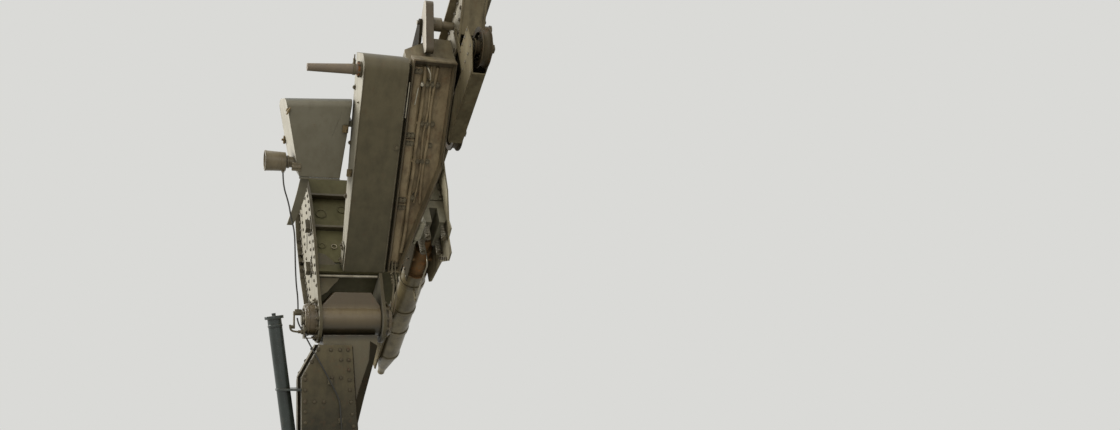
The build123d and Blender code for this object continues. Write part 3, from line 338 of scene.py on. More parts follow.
steel = {
    "paint": ((84, 76, 54), (68, 61, 43), (100, 92, 70)), "stain": (50, 43, 29),
    "rust": (98, 62, 35), "sootAndShade": (36, 33, 22), "bare": (138, 130, 108), "dustAndSkyTintTone": (122, 116, 94),
    "paintedSideTone": (158, 152, 134), "rough": (0.46, 0.78), "shine": 0.32, "edge": 7.0, "relief": 0.5, "rustShare": 0.3,
    "streaks": 0.5, "grimeAndShade": 0.6, "wear": 0.5, "dustAndSkyTint": 0.2,
}
looks = {
    # OlivePaint's faces turned to -y take a pale painted light tone.
    "OlivePaint": {"paintedSideShare": 0.75},
    # BeamPaint is lightened to lift the shade under and inside the beam: painted fill light; its -y faces take painted
    # light.
    "BeamPaint": {"paint": ((120, 109, 82), (94, 84, 62), (140, 129, 101)), "rustShare": 0.4, "streaks": 0.6,
                  "grimeAndShade": 0.2, "paintedSideShare": 0.5},
    # BogiePaint's faces turned to -y are painted darker: painted shade against the left lamp.
    "BogiePaint": {"paint": ((92, 84, 63), (74, 66, 49), (106, 97, 75)), "rustShare": 0.3, "streaks": 0.5,
                   "dustAndSkyTint": 0.05, "wear": 0.15, "shine": 0.06, "rough": (0.75, 0.95), "paintedSideShare": 0.9,
                   "paintedSideTone": (50, 45, 33)},
    # GuardPaint is lightened to lift the shade on the wheel guards: painted fill light.
    "GuardPaint": {"paint": ((106, 97, 74), (86, 78, 58), (122, 112, 87)), "rustShare": 0.3, "streaks": 0.6,
                   "dustAndSkyTint": 0.1, "wear": 0.2, "shine": 0.08, "rough": (0.7, 0.9)},
    # LeverPaint's faces turned to -y take a pale painted light tone.
    "LeverPaint": {"paint": ((92, 82, 66), (74, 65, 51), (108, 98, 80)), "rustShare": 0.3, "paintedSideShare": 0.9,
                   "paintedSideTone": (176, 168, 152)},
    # LegPaint: paler towards the top and darker towards the bottom, dust with a painted grey sky tint on top faces, and
    # painted light on its -y side.
    "LegPaint": {"paint": ((66, 62, 43), (60, 55, 38), (94, 86, 64)), "rustShare": 0.1, "streaks": 0.4,
                 "paleTowardTop": (-0.5, 1.15), "paleTowardTopMost": 0.95, "relief": 0.3, "dustAndSkyTint": 0.6, "dustAndSkyTintTone": (80, 79, 68),
                 "paintedSideShare": 0.85},
    # ChannelPaint is a lighter copy of LipPaint for the channel's shaded inside: painted fill light.
    "ChannelPaint": {"paint": ((116, 104, 79), (95, 84, 62), (132, 120, 94)), "stain": (58, 49, 34),
                     "rustShare": 0.45, "streaks": 0.95, "grimeAndShade": 0.15, "wear": 0.1},
    "LipPaint": {"paint": ((84, 75, 56), (68, 60, 44), (96, 87, 66)), "stain": (52, 45, 31), "rustShare": 0.4,
                 "streaks": 0.8, "wear": 0.1},
    # LiningPaint is lightened for the shaded channel floor, duct and pipes: painted fill light.
    "LiningPaint": {"paint": ((140, 124, 94), (112, 96, 70), (158, 142, 112)), "stain": (72, 60, 42),
                    "rustShare": 0.5, "streaks": 1.0, "grimeAndShade": 0.1, "wear": 0.1},
    # HangerPaint: paler towards its top and darker below, by height, with a little painted light on its -y faces.
    "HangerPaint": {"paint": ((41, 37, 22), (34, 31, 18), (90, 81, 57)), "rustShare": 0.25, "paintedSideShare": 0.3,
                    "paleTowardTop": (-1.62, -0.95), "paleTowardTopMost": 0.9},
    # WebPaint and ArchPaint are lightened for the web and crown, which lie in shade: painted fill light.
    "WebPaint": {"paint": ((98, 94, 65), (84, 80, 54), (110, 105, 76)), "rustShare": 0.12, "stain": (70, 62, 43),
                 "dustAndSkyTint": 0.0, "streaks": 0.4, "wear": 0.2, "shine": 0.08},
    "ArchPaint": {"paint": ((86, 82, 56), (74, 70, 47), (98, 93, 66)), "rustShare": 0.12, "dustAndSkyTint": 0.0,
                  "streaks": 0.4, "wear": 0.2, "shine": 0.08},
    "ShadePaint": {"paint": ((42, 38, 27), (32, 29, 21), (50, 45, 33)), "rustShare": 0.2, "dustAndSkyTint": 0.0, "wear": 0.2,
                   "shine": 0.08, "rough": (0.6, 0.85)},
    # CheekPaint is lightened to lift the shade on the far guard: painted fill light.
    "CheekPaint": {"paint": ((150, 141, 113), (128, 119, 94), (164, 155, 128)), "rustShare": 0.3, "streaks": 0.7,
                   "grimeAndShade": 0.15},
    # HoodPaint: paler towards the top as painted top light, dust with a painted grey-blue sky tint on its top faces,
    # and painted light on its -y side.
    "HoodPaint": {"paint": ((98, 92, 74), (90, 84, 66), (116, 111, 94)), "stain": (80, 72, 54), "rustShare": 0.06,
                  "streaks": 0.35, "rough": (0.42, 0.66), "paleTowardTop": (0.0, 0.75), "paleTowardTopMost": 0.8, "relief": 0.3,
                  "dustAndSkyTint": 1.0, "dustAndSkyTintTone": (84, 89, 88), "paintedSideShare": 0.8, "paintedSideTone": (176, 170, 154)},
    # CastBrown's faces turned to -y take a little pale painted light.
    "CastBrown": {"paint": ((100, 86, 60), (84, 71, 48), (116, 100, 70)), "stain": (74, 60, 40), "rustShare": 0.25,
                  "relief": 0.7, "edge": 12.0, "rough": (0.3, 0.5), "shine": 0.5, "dustAndSkyTint": 0.0, "paintedSideShare": 0.3},
    # HubBrown's bands by height paint a highlight across the barrel and shade below it.
    "HubBrown": {"paint": ((86, 78, 56), (74, 66, 46), (116, 100, 70)), "stain": (74, 60, 40), "rustShare": 0.2,
                 "relief": 0.7, "edge": 12.0, "rough": (0.3, 0.5), "shine": 0.5, "dustAndSkyTint": 0.0, "grimeAndShade": 0.3,
                 "paintedShadingBands": ((-1.50, (56, 51, 33)), (-0.93, (92, 84, 61)), (-0.885, (44, 39, 26)),
                 (-0.83, (46, 40, 27)), (-0.745, (98, 84, 59)), (-0.69, (120, 105, 76)), (-0.62, (84, 71, 50)),
                 (-0.45, (76, 64, 45)))},
    "HornBrown": {"paint": ((114, 103, 80), (90, 80, 62), (136, 125, 101)), "rustShare": 0.15, "edge": 8.0,
                  "rough": (0.3, 0.55)},
    # WheelIron's faces turned to -y are painted darker: painted shade against the left lamp.
    "WheelIron": {"paint": ((76, 67, 49), (58, 50, 36), (90, 80, 60)), "rustShare": 0.5, "relief": 0.7,
                  "dustAndSkyTint": 0.05, "wear": 0.25, "shine": 0.12, "paintedSideShare": 0.9, "paintedSideTone": (48, 43, 32)},
    "WornSteel": {"paint": ((176, 168, 148), (134, 126, 106), (196, 190, 172)), "metal": 0.5, "rustShare": 0.25,
                  "rough": (0.26, 0.6), "edge": 3.0},
    "TroughSteel": {"paint": ((116, 105, 76), (92, 82, 57), (136, 126, 98)), "metal": 0.2, "rustShare": 0.25,
                    "rough": (0.28, 0.5), "streaks": 0.7, "dustAndSkyTint": 0.05, "grimeAndShade": 0.4},
    # RustyJoint is rust, lightened to lift the shade at the joint: partly painted fill light.
    "RustyJoint": {"paint": ((152, 116, 68), (112, 82, 46), (178, 140, 86)), "stain": (80, 56, 34),
                   "rust": (196, 120, 50), "rustShare": 0.8, "relief": 1.0, "rough": (0.55, 0.85)},
    "RustyIron": {"paint": ((132, 84, 42), (94, 60, 33), (166, 106, 48)), "stain": (66, 42, 26),
                  "rust": (176, 102, 40), "rustShare": 0.9, "relief": 1.0, "rough": (0.6, 0.9)},
    "TubePaint": {"paint": ((46, 53, 49), (34, 39, 35), (68, 78, 73)), "stain": (25, 26, 20), "rustShare": 0.1,
                  "rough": (0.22, 0.45), "dustAndSkyTint": 0.1, "shine": 0.5},
    "RivetIron": {"paint": ((78, 69, 50), (60, 52, 37), (98, 89, 66)), "rustShare": 0.35, "edge": 2.5, "wear": 0.5,
                  "dustAndSkyTint": 0.1},
    "BoltSteel": {"paint": ((104, 95, 74), (76, 67, 50), (136, 127, 102)), "metal": 0.3, "rustShare": 0.4,
                  "edge": 2.5, "wear": 0.8},
    "LatchBronze": {"paint": ((120, 102, 70), (90, 76, 50), (150, 133, 98)), "metal": 0.4, "edge": 3.0,
                    "rustShare": 0.15},
    "HousingGrey": {"paint": ((132, 127, 106), (108, 103, 84), (154, 150, 130)), "rustShare": 0.2, "wear": 0.8,
                    "grimeAndShade": 0.3},
}
finishes = {name: weathered(name, {**steel, **look}) for name, look in looks.items()}


# Rubber and cable sheath: matt, finely grained, greyed where it is rubbed
rubber = {
    "rubbed": {"scale": 12.0, "low": 0.42, "high": 0.7},
    "grain": {"scale": 260.0, "low": 0.35, "high": 0.65, "detail": 2.0},
    "grainShare": 0.2, "rough": (0.5, 0.78), "relief": 0.4, "reliefDepth": 0.6,
}
rubbers = {  # base, worn, dark
    "SleeveRubber": ((102, 89, 71), (122, 108, 88), (70, 60, 47)),
    "CableSheath": ((42, 40, 34), (60, 57, 48), (26, 25, 21)),
}


def rubbery(name, colours):
    material = bpy.data.materials.new(name)
    material.use_nodes = True
    tree = material.node_tree
    shader = tree.nodes["Principled BSDF"]
    base, worn, dark = (tone(*colour) for colour in colours)
    place = addNode(tree, "ShaderNodeTexCoord").outputs["Object"]
    rubbed = patches(tree, place, **rubber["rubbed"])
    grain = patches(tree, place, **rubber["grain"])
    colour = blend(tree, calc(tree, "MULTIPLY", grain, rubber["grainShare"]), blend(tree, rubbed, base, worn), dark)
    tree.links.new(colour, shader.inputs["Base Color"])
    smoothest, roughest = rubber["rough"]
    tree.links.new(ranged(tree, rubbed, least=smoothest, most=roughest), shader.inputs["Roughness"])
    bump = addNode(tree, "ShaderNodeBump", {
        "Strength": rubber["relief"], "Distance": rubber["reliefDepth"] * mm, "Height": grain})
    tree.links.new(bump.outputs[0], shader.inputs["Normal"])
    return material


finishes.update({name: rubbery(name, colours) for name, colours in rubbers.items()})

nodeFinishes = {
    "BeamPaint": "beam_plate_near beam_plate_far beam_deck diaphragms transom_upper transom_lower",
    "LeverPaint": "release_lever",
    "BogiePaint": "bogie_upper bogie_lower",
    "LegPaint": "outer_leg_upper outer_leg_lower",
    "ChannelPaint": "inner_leg_upper inner_leg_lower",
    "OlivePaint": "cross_ties bearing_plate_outer bearing_plate_inner cable_stand cable_clips",
    "WebPaint": "web_panel",
    "ArchPaint": "crown_outer crown_inner",
    "ShadePaint": "guard_near release_bar",
    "CheekPaint": "guard_far",
    "CastBrown": "bearings",
    "HubBrown": "hub",
    "HornBrown": "horn release_shaft",
    "HousingGrey": "rope_brake",
    "WheelIron": "wheel_1 wheel_2 wheel_3 wheel_4",
    "WornSteel": "bogie_pins axles_upper axles_lower pivot_shaft brake_rod",
    "HangerPaint": "hanger_front hanger_rear hanger_web foot_flange",
    "HoodPaint": "hood curtain",
    "TroughSteel": "rope_trough rope_nose trough_straps",
    "RustyJoint": "joint_tube coupling",
    "RustyIron": "grip_fitting",
    "TubePaint": "capped_tube tube_brackets",
    "SleeveRubber": "grip_sleeve",
    "CableSheath": "cable_carriage cable_hanger",
}
for finishName, nodeNames in nodeFinishes.items():
    for nodeName in nodeNames.split():
        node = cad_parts[nodeName]
        node.data.materials.clear()
        node.data.materials.append(finishes[finishName])
print("Finishes made:", len(finishes))


# Fasteners, springs and welds: Geometry Nodes on points that carry the way they face
def newTree(name, inputs):
    tree = bpy.data.node_groups.new(name, "GeometryNodeTree")
    tree.interface.new_socket(name="Geometry", in_out="INPUT", socket_type="NodeSocketGeometry")
    for inputName, kind, value in inputs:
        item = tree.interface.new_socket(name=inputName, in_out="INPUT", socket_type="NodeSocket" + kind)
        if value is not None:
            item.default_value = value
    tree.interface.new_socket(name="Geometry", in_out="OUTPUT", socket_type="NodeSocketGeometry")
    return tree, addNode(tree, "NodeGroupInput").outputs


def closeTree(tree, geometry, finish):
    real = addNode(tree, "GeometryNodeRealizeInstances", {"Geometry": geometry}).outputs[0]
    coated = addNode(tree, "GeometryNodeSetMaterial", {"Geometry": real, "Material": finish}).outputs[0]
    addNode(tree, "NodeGroupOutput", {0: coated})


def setOnPoints(tree, given, head, spin=True):
    facing = addNode(tree, "GeometryNodeInputNamedAttribute", {"Name": "facing"}, data_type="FLOAT_VECTOR")
    turn = addNode(tree, "FunctionNodeAlignRotationToVector", {"Vector": facing.outputs[0]}, axis="Z").outputs[0]
    if spin:
        angle = addNode(tree, "FunctionNodeRandomValue", {2: 0.0, 3: 6.28, "Seed": given["Seed"]}).outputs[1]
        around = addNode(tree, "FunctionNodeAxisAngleToRotation", {"Axis": (0, 0, 1), "Angle": angle}).outputs[0]
        turn = addNode(tree, "FunctionNodeRotateRotation", {"Rotation": turn, "Rotate By": around},
                       rotation_space="LOCAL").outputs[0]
    return addNode(tree, "GeometryNodeInstanceOnPoints", {
        "Points": given["Geometry"], "Instance": head, "Rotation": turn}).outputs[0]


def rivetTree():
    tree, given = newTree("Rivets", [
        ("Head radius", "Float", 0.017), ("Head height", "Float", 0.011), ("Seed", "Int", 3),
        ("Finish", "Material", None)])
    ball = addNode(tree, "GeometryNodeMeshUVSphere", {"Segments": 14, "Rings": 8, "Radius": 1.0}).outputs[0]
    at = addNode(tree, "ShaderNodeSeparateXYZ", {0: addNode(tree, "GeometryNodeInputPosition").outputs[0]}).outputs
    dome = addNode(tree, "ShaderNodeCombineXYZ", {
        0: calc(tree, "MULTIPLY", at[0], given["Head radius"]),
        1: calc(tree, "MULTIPLY", at[1], given["Head radius"]),
        2: calc(tree, "MULTIPLY", calc(tree, "MAXIMUM", at[2], 0.0), given["Head height"])}).outputs[0]
    head = addNode(tree, "GeometryNodeSetPosition", {"Geometry": ball, "Position": dome}).outputs[0]
    closeTree(tree, setOnPoints(tree, given, head), given["Finish"])
    return tree


def boltTree():
    tree, given = newTree("Bolts", [
        ("Head radius", "Float", 0.016), ("Head height", "Float", 0.012), ("Washer radius", "Float", 0.022),
        ("Stud radius", "Float", 0.008), ("Stud length", "Float", 0.012), ("Seed", "Int", 5),
        ("Finish", "Material", None)])
    washerHeight = 0.003
    parts = []
    for sides, radius, start, height in (
        (20, given["Washer radius"], 0.0, washerHeight),
        (6, given["Head radius"], washerHeight, given["Head height"]),
        (12, given["Stud radius"], calc(tree, "ADD", given["Head height"], washerHeight), given["Stud length"]),
    ):
        body = addNode(tree, "GeometryNodeMeshCylinder", {"Vertices": sides, "Radius": radius, "Depth": height})
        lift = calc(tree, "ADD", calc(tree, "MULTIPLY", height, 0.5), start)
        shift = addNode(tree, "ShaderNodeCombineXYZ", {2: lift}).outputs[0]
        parts.append(addNode(tree, "GeometryNodeTransform", {
            "Geometry": body.outputs[0], "Translation": shift}).outputs[0])
    joined = tree.nodes.new("GeometryNodeJoinGeometry")
    for part in parts[::-1]:
        tree.links.new(part, joined.inputs[0])
    closeTree(tree, setOnPoints(tree, given, joined.outputs[0]), given["Finish"])
    return tree


def springTree():
    tree, given = newTree("Springs", [
        ("Coil radius", "Float", 0.022), ("Wire radius", "Float", 0.004), ("Turns", "Float", 9.0),
        ("Length", "Float", 0.15), ("Seed", "Int", 0), ("Finish", "Material", None)])
    coil = addNode(tree, "GeometryNodeCurveSpiral", {
        "Resolution": 20, "Rotations": given["Turns"], "Start Radius": given["Coil radius"],
        "End Radius": given["Coil radius"], "Height": given["Length"]}).outputs[0]
    wire = addNode(tree, "GeometryNodeCurvePrimitiveCircle", {"Resolution": 8, "Radius": given["Wire radius"]})
    spring = addNode(tree, "GeometryNodeCurveToMesh", {
        "Curve": coil, "Profile Curve": wire.outputs[0], "Fill Caps": True}).outputs[0]
    closeTree(tree, setOnPoints(tree, given, spring, spin=False), given["Finish"])
    return tree


def weldTree():
    tree, given = newTree("Welds", [
        ("Bead radius", "Float", 0.005), ("Ripple length", "Float", 0.012), ("Seed", "Int", 11),
        ("Finish", "Material", None)])
    path = addNode(tree, "GeometryNodeMeshToCurve", {"Mesh": given["Geometry"]}).outputs[0]
    path = addNode(tree, "GeometryNodeResampleCurve", {
        "Curve": path, "Length": given["Ripple length"]}, mode="LENGTH").outputs[0]
    section = addNode(tree, "GeometryNodeCurvePrimitiveCircle", {"Resolution": 8, "Radius": given["Bead radius"]})
    swell = addNode(tree, "FunctionNodeRandomValue", {2: 0.75, 3: 1.2, "Seed": given["Seed"]}).outputs[1]
    bead = addNode(tree, "GeometryNodeCurveToMesh", {
        "Curve": path, "Profile Curve": section.outputs[0], "Scale": swell, "Fill Caps": True}).outputs[0]
    closeTree(tree, bead, given["Finish"])
    return tree


trees = {"rivets": rivetTree(), "bolts": boltTree(), "springs": springTree(), "welds": weldTree()}


def growOn(name, mesh, kind, values, body):
    piece = bpy.data.objects.new(name, mesh)
    bpy.context.scene.collection.objects.link(piece)
    grower = piece.modifiers.new("Grower", "NODES")
    grower.node_group = trees[kind]
    for item in trees[kind].interface.items_tree:
        if item.in_out == "INPUT" and item.name in values:
            grower[item.identifier] = values[item.name]
    grown = bpy.data.meshes.new_from_object(piece.evaluated_get(bpy.context.evaluated_depsgraph_get()))
    grown.name = name
    piece.modifiers.remove(grower)
    piece.data = grown
    for polygon in grown.polygons:
        polygon.use_smooth = True
    grown.set_sharp_from_angle(angle=math.radians(edgeAngles["sharpGrown"]))
    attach(piece, body)
    return piece


def setFasteners(name, kind, spots, values, body="carriage"):
    mesh = bpy.data.meshes.new(name)
    mesh.from_pydata([spot for spot, _ in spots], [], [])
    facing = mesh.attributes.new("facing", "FLOAT_VECTOR", "POINT")
    facing.data.foreach_set("vector", [part for _, way in spots for part in way])
    return growOn(name, mesh, kind, values, body)


def layWelds(name, paths, values, body):
    points, edges = [], []
    for path in paths:
        edges += [(len(points) + i, len(points) + i + 1) for i in range(len(path) - 1)]
        points += path
    mesh = bpy.data.meshes.new(name)
    mesh.from_pydata(points, edges, [])
    return growOn(name, mesh, "welds", values, body)


def rowOf(start, end, pitch, facing):
    count = max(1, round((end - start).length / (pitch * mm)))
    return [(start.lerp(end, i / count), facing) for i in range(count + 1)]


def rowAlong(corners, pitch, facing):
    spots = []
    for start, end in zip(corners, corners[1:]):
        spots += rowOf(start, end, pitch, facing)[(1 if spots else 0):]
    return spots


def circleOf(centre, axis, radius, count, facing, turn=0.0):
    sideways = axis.orthogonal().normalized()
    other = axis.cross(sideways)
    angles = [turn + 2 * math.pi * k / count for k in range(count)]
    return [(centre + (sideways * math.cos(a) + other * math.sin(a)) * radius * mm, facing) for a in angles]


def inside(s, n, outline):
    hit = False
    for (s1, n1), (s2, n2) in zip(outline, outline[1:] + outline[:1]):
        if (n1 > n) != (n2 > n) and s < (s2 - s1) * (n - n1) / (n2 - n1) + s1:
            hit = not hit
    return hit


# Main beam
beam = {
    "face": 100, "top": 680, "deck": 692, "half": 2210, "rowTop": 642, "rowLow": 428, "rowLowHalf": 1840,
    "endRow": ((1900, 452), (2110, 616)), "columns": (520, 840, -520, -840), "columnHalf": 22,
    "columnN": (490, 590), "holes": ((1580, 500), (-1580, 500), (1825, 600)), "holeClear": 75,
    "pitch": 98, "flangeRow": 135, "deckRow": 78, "rivet": 0.0165, "rivetHeight": 0.011,
}
straps = {"places": (-640, -1060, -1400), "half": 45, "high": 482, "boltY": 120,
          "boltN": (440, 405, 60)}
covers = {  # what lies on each side of the beam, where no rivet shows
    -1: [
        [(395, 575), (315, 200), (295, -180), (-490, -180), (-490, 575)],
        [(1465, 90), (1735, 90), (1735, 575), (1465, 575)], [(-1465, 90), (-1735, 90), (-1735, 575), (-1465, 575)],
    ],
    1: [[(605, 672), (545, 541), (495, 324), (470, 145), (255, -240), (-490, -200), (-490, 575)]],
}
for s in straps["places"]:
    low, high = s - straps["half"], s + straps["half"]
    for side in (-1, 1):
        covers[side].append([(low, 0), (high, 0), (high, straps["high"]), (low, straps["high"])])


def beamRivets(sizes):
    spots = []
    half, lowHalf, top, low = (sizes[key] for key in ("half", "rowLowHalf", "rowTop", "rowLow"))
    (s1, n1), (s2, n2) = sizes["endRow"]
    for side in (-1, 1):
        rows = [((-half, top), (half, top)), ((-lowHalf, low), (lowHalf, low))]
        rows += [((s1, n1), (s2, n2)), ((-s1, n1), (-s2, n2))]
        for s in sizes["columns"]:
            rows += [tuple((s + d, n) for n in sizes["columnN"]) for d in (-sizes["columnHalf"], sizes["columnHalf"])]
        for start, end in rows:
            count = max(1, round(math.dist(start, end) / sizes["pitch"]))
            for k in range(count + 1):
                s, n = (a + (b - a) * (k / count) for a, b in zip(start, end))
                clear = all(math.dist((s, n), hole) > sizes["holeClear"] for hole in sizes["holes"])
                if clear and not any(inside(s, n, cover) for cover in covers[side]):
                    spots.append((onLine(s, n, side * sizes["face"]), across * side))
        for y, n in ((side * sizes["flangeRow"], sizes["top"]), (side * sizes["deckRow"], sizes["deck"])):
            spots += rowOf(onLine(-half, n, y), onLine(half, n, y), sizes["pitch"], lineUp)
    return spots


rivetSizes = {"Head radius": beam["rivet"], "Head height": beam["rivetHeight"], "Finish": finishes["RivetIron"]}
boltSizes = {"Finish": finishes["BoltSteel"]}
setFasteners("BeamRivets", "rivets", beamRivets(beam), rivetSizes, "carriage")

rib = {"pitch": 420, "each": 5, "thick": 8, "legS": 1600, "legHalf": 150,
       "outline": ((100, 668), (156, 668), (156, 655), (108, 600), (100, 600))}
ribs = bmesh.new()
for k in range(-rib["each"], rib["each"] + 1):
    s = k * rib["pitch"]
    overLeg = abs(abs(s) - rib["legS"]) < rib["legHalf"]
    for side in (-1, 1):
        if not (overLeg and side < 0):
            addPrism(ribs, [onLine(s, n, side * y) for y, n in rib["outline"]], lineDir * rib["thick"] * mm)
finishPiece("FlangeRibs", ribs, "BeamPaint")
print("Beam dressed")

# Guards beside the rope: a plate of its own for the near one, and rivets on both
guards = {
    "near": -112, "thick": 12,
    "nearOutline": ((380, 560), (300, 200), (270, 40), (120, -40), (-150, -110), (-470, -150), (-470, 560)),
    "rows": (  # y, the way the heads face, pitch, corners
        (-112, -1, 88, ((-440, -120), (-440, 530), (345, 530))),
        (112, 1, 88, ((-440, -150), (-440, 532), (505, 618), (496, 541))),
        (112, 1, 70, ((120, -345), (-40, -215))),
        (100, -1, 70, ((120, -345), (-40, -215))),
    ),
}
nearGuard = bmesh.new()
addPlate(nearGuard, guards["nearOutline"], guards["near"], guards["thick"])
nearGuardPiece = finishPiece("GuardNearPlate", nearGuard, "BogiePaint", bevel=2)
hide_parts("guard_near")
guardSpots = []
for y, way, pitch, corners in guards["rows"]:
    guardSpots += rowAlong([onLine(s, n, y) for s, n in corners], pitch, across * way)
setFasteners("GuardRivets", "rivets", guardSpots, rivetSizes)

# Bearing plates: rows of rivets, guide blocks, edge strip
bearing = {
    "plateFace": -1044, "capFace": -1130, "innerFace": -461, "innerPlateFace": -511, "columnPitch": 82,
    "columns": (((183, -700), (196, -588), (247, -300), (247, 120), (172, 430)), ((112, -600), (112, 430))),
    "blocks": ((215, -120), (42, -423)), "blockSizes": ((62, 48, 92), (92, 10, 124)),
    "strip": ((-190, 455), (-272, 130), (-272, -300), (-222, -588)), "stripWide": 42, "stripThick": 10,
    "stripBolts": (100, -290), "stripPitch": 78,
}
plateSpots = []
for column in bearing["columns"]:
    for side in (1, -1):
        corners = [onLine(side * s, n, bearing["plateFace"]) for s, n in column]
        plateSpots += rowAlong(corners, bearing["columnPitch"], -across)
setFasteners("BearingPlateRivets", "rivets", plateSpots, {**rivetSizes, "Head radius": 0.015})

fittings = bmesh.new()
for s, n in bearing["blocks"]:
    for size in bearing["blockSizes"]:
        addBox(fittings, onLine(s, n, bearing["plateFace"] - size[1] / 2), lineDir, across, size)
for low, high in zip(bearing["strip"], bearing["strip"][1:]):
    start, end = onLine(*low, bearing["plateFace"]), onLine(*high, bearing["plateFace"])
    inward = across.cross((end - start).normalized())
    addBar(fittings, start, end, across * -bearing["stripWide"] * mm, inward * bearing["stripThick"] * mm)
finishPiece("PlateFittings", fittings, "OlivePaint", bevel=2)

# Bearing caps: raised rings, a ring of small bolts on each cap and of larger ones on each plate
cap = {"backs": (86, 50), "faceRing": (118, 66, 0, 10), "footRing": (132, 125, 16), "midRing": (131, 125, -22, -8),
       "boltRing": (82, 8), "plateRing": (156, 12), "plateTurn": 0.2}
smallBolts = {**boltSizes, "Head radius": 0.009, "Head height": 0.007, "Washer radius": 0.0125, "Stud radius": 0.004,
              "Stud length": 0.001}
caps = bmesh.new()
capSpots, bearingSpots = [], []
for way, face, plate, back in ((-1, bearing["capFace"], bearing["plateFace"], cap["backs"][0]),
                               (1, bearing["innerFace"], bearing["innerPlateFace"], cap["backs"][1])):
    out = across * way
    outer, inner, wide = cap["footRing"]
    for ring in (cap["faceRing"], (outer, inner, -back, wide - back), cap["midRing"]):
        addRing(caps, onHanger(0, face, 0), out, *ring)
    capSpots += circleOf(onHanger(0, face + way * cap["faceRing"][3], 0), across, *cap["boltRing"], out)
    bearingSpots += circleOf(onHanger(0, plate, 0), across, *cap["plateRing"], out, cap["plateTurn"])
finishPiece("BearingCaps", caps, "CastBrown", bevel=2)
setFasteners("CapBolts", "bolts", capSpots, smallBolts)
stripS, stripY = bearing["strip"][1][0], bearing["plateFace"] - bearing["stripWide"] / 2
bearingSpots += rowOf(*(onLine(stripS, n, stripY) for n in bearing["stripBolts"]), bearing["stripPitch"], -lineDir)
setFasteners("BearingBolts", "bolts", bearingSpots, boltSizes)

# Clamp under the outer bearing, its hook, and two grease nipples above the shaft
clamp = {
    "x": 28, "wide": 72, "lug": ((-1130, -60), (-1146, -60), (-1146, -100), (-1130, -80)),
    "bracket": ((-1044, -150), (-1154, -150), (-1154, -40), (-1146, -40), (-1146, -142), (-1044, -142)),
    "hook": ((-1150, -96), (-1215, -96), (-1252, -84), (-1256, -40)), "hookRadius": 8,
    "nutAt": (-1154, -96), "nut": ((0, 0), (20, 0), (20, 16), (13, 18), (13, 40), (0, 40)),
    "nipples": ((30, -1090, 118), (-34, -1090, 116)),
    "nipple": ((0, -6), (9, -6), (9, 10), (6, 12), (6, 20), (8, 22), (4, 30), (0, 30)),
}
clampParts = bmesh.new()
for outline in (clamp["bracket"], clamp["lug"]):
    addPrism(clampParts, [onHanger(clamp["x"], y, z) for y, z in outline], Vector((clamp["wide"], 0, 0)) * mm)
hookX = clamp["x"] + clamp["wide"] / 2
addRod(clampParts, rounded([onHanger(hookX, y, z) for y, z in clamp["hook"]]), clamp["hookRadius"])
addTurned(clampParts, onHanger(hookX, *clamp["nutAt"]), -across, clamp["nut"], 18)
for place in clamp["nipples"]:
    addTurned(clampParts, onHanger(*place), upright, clamp["nipple"], 12)
finishPiece("BearingClamp", clampParts, "OlivePaint", bevel=1.5)
print("Bearings dressed")

# Bogies: nuts, rings and keepers on the axle ends, rivets on the arms
bogie = {
    "centre": 1580, "halfBase": 440, "axleN": 154, "face": 70, "axleEnd": 80, "headN": 500,
    "nut": ((0, 0), (36, 0), (36, 12), (30, 15), (20, 16), (20, 20), (0, 20)), "nutRing": (47, 31, 0, 6),
    "keeper": (26, 6, 74), "keeperReach": 54, "rivetPairs": ((54, 24, 6), (150, 45, 0), (240, 50, 0)),
}
for side, body in ((1, "bogie_upper"), (-1, "bogie_lower")):
    nuts = bmesh.new()
    spots = []
    for offset in (-1, 1):
        s = side * bogie["centre"] + offset * bogie["halfBase"]
        toHead = (onLine(side * bogie["centre"], bogie["headN"]) - onLine(s, bogie["axleN"])).normalized()
        cross = toHead.cross(across)
        for way in (-1, 1):
            out = across * way
            face = onLine(s, bogie["axleN"], way * bogie["face"])
            addTurned(nuts, onLine(s, bogie["axleN"], way * bogie["axleEnd"]), out, bogie["nut"], 6)
            addRing(nuts, face, out, *bogie["nutRing"])
            keeperAt = face + (toHead * bogie["keeperReach"] + out * bogie["keeper"][1] / 2) * mm
            addBox(nuts, keeperAt, toHead, across, bogie["keeper"])
            spots += [(face + (toHead * reach + cross * d + out * lift) * mm, out)
                      for reach, half, lift in bogie["rivetPairs"] for d in (-half, half)]
    finishPiece(body.replace("_", "") + "Nuts", nuts, "BoltSteel", bevel=1, body=body)
    setFasteners(body.replace("_", "") + "Rivets", "rivets", spots,
                 {**rivetSizes, "Head radius": 0.012, "Head height": 0.007}, body)

wheel = {"webHalf": 8, "boltCircle": 81, "bolts": 5}
wheelBolts = {**boltSizes, "Head radius": 0.011, "Washer radius": 0.015, "Stud radius": 0.006, "Stud length": 0.006}
for number in (1, 2, 3, 4):
    s = (-1 if number < 3 else 1) * bogie["centre"] + (-1 if number % 2 else 1) * bogie["halfBase"]
    wheelSpots = []
    for way in (-1, 1):
        wheelSpots += circleOf(onLine(s, bogie["axleN"], way * wheel["webHalf"]), across, wheel["boltCircle"],
                               wheel["bolts"], across * way, turn=math.pi / wheel["bolts"])
    setFasteners(f"Wheel{number}Bolts", "bolts", wheelSpots, wheelBolts, f"wheel_{number}")

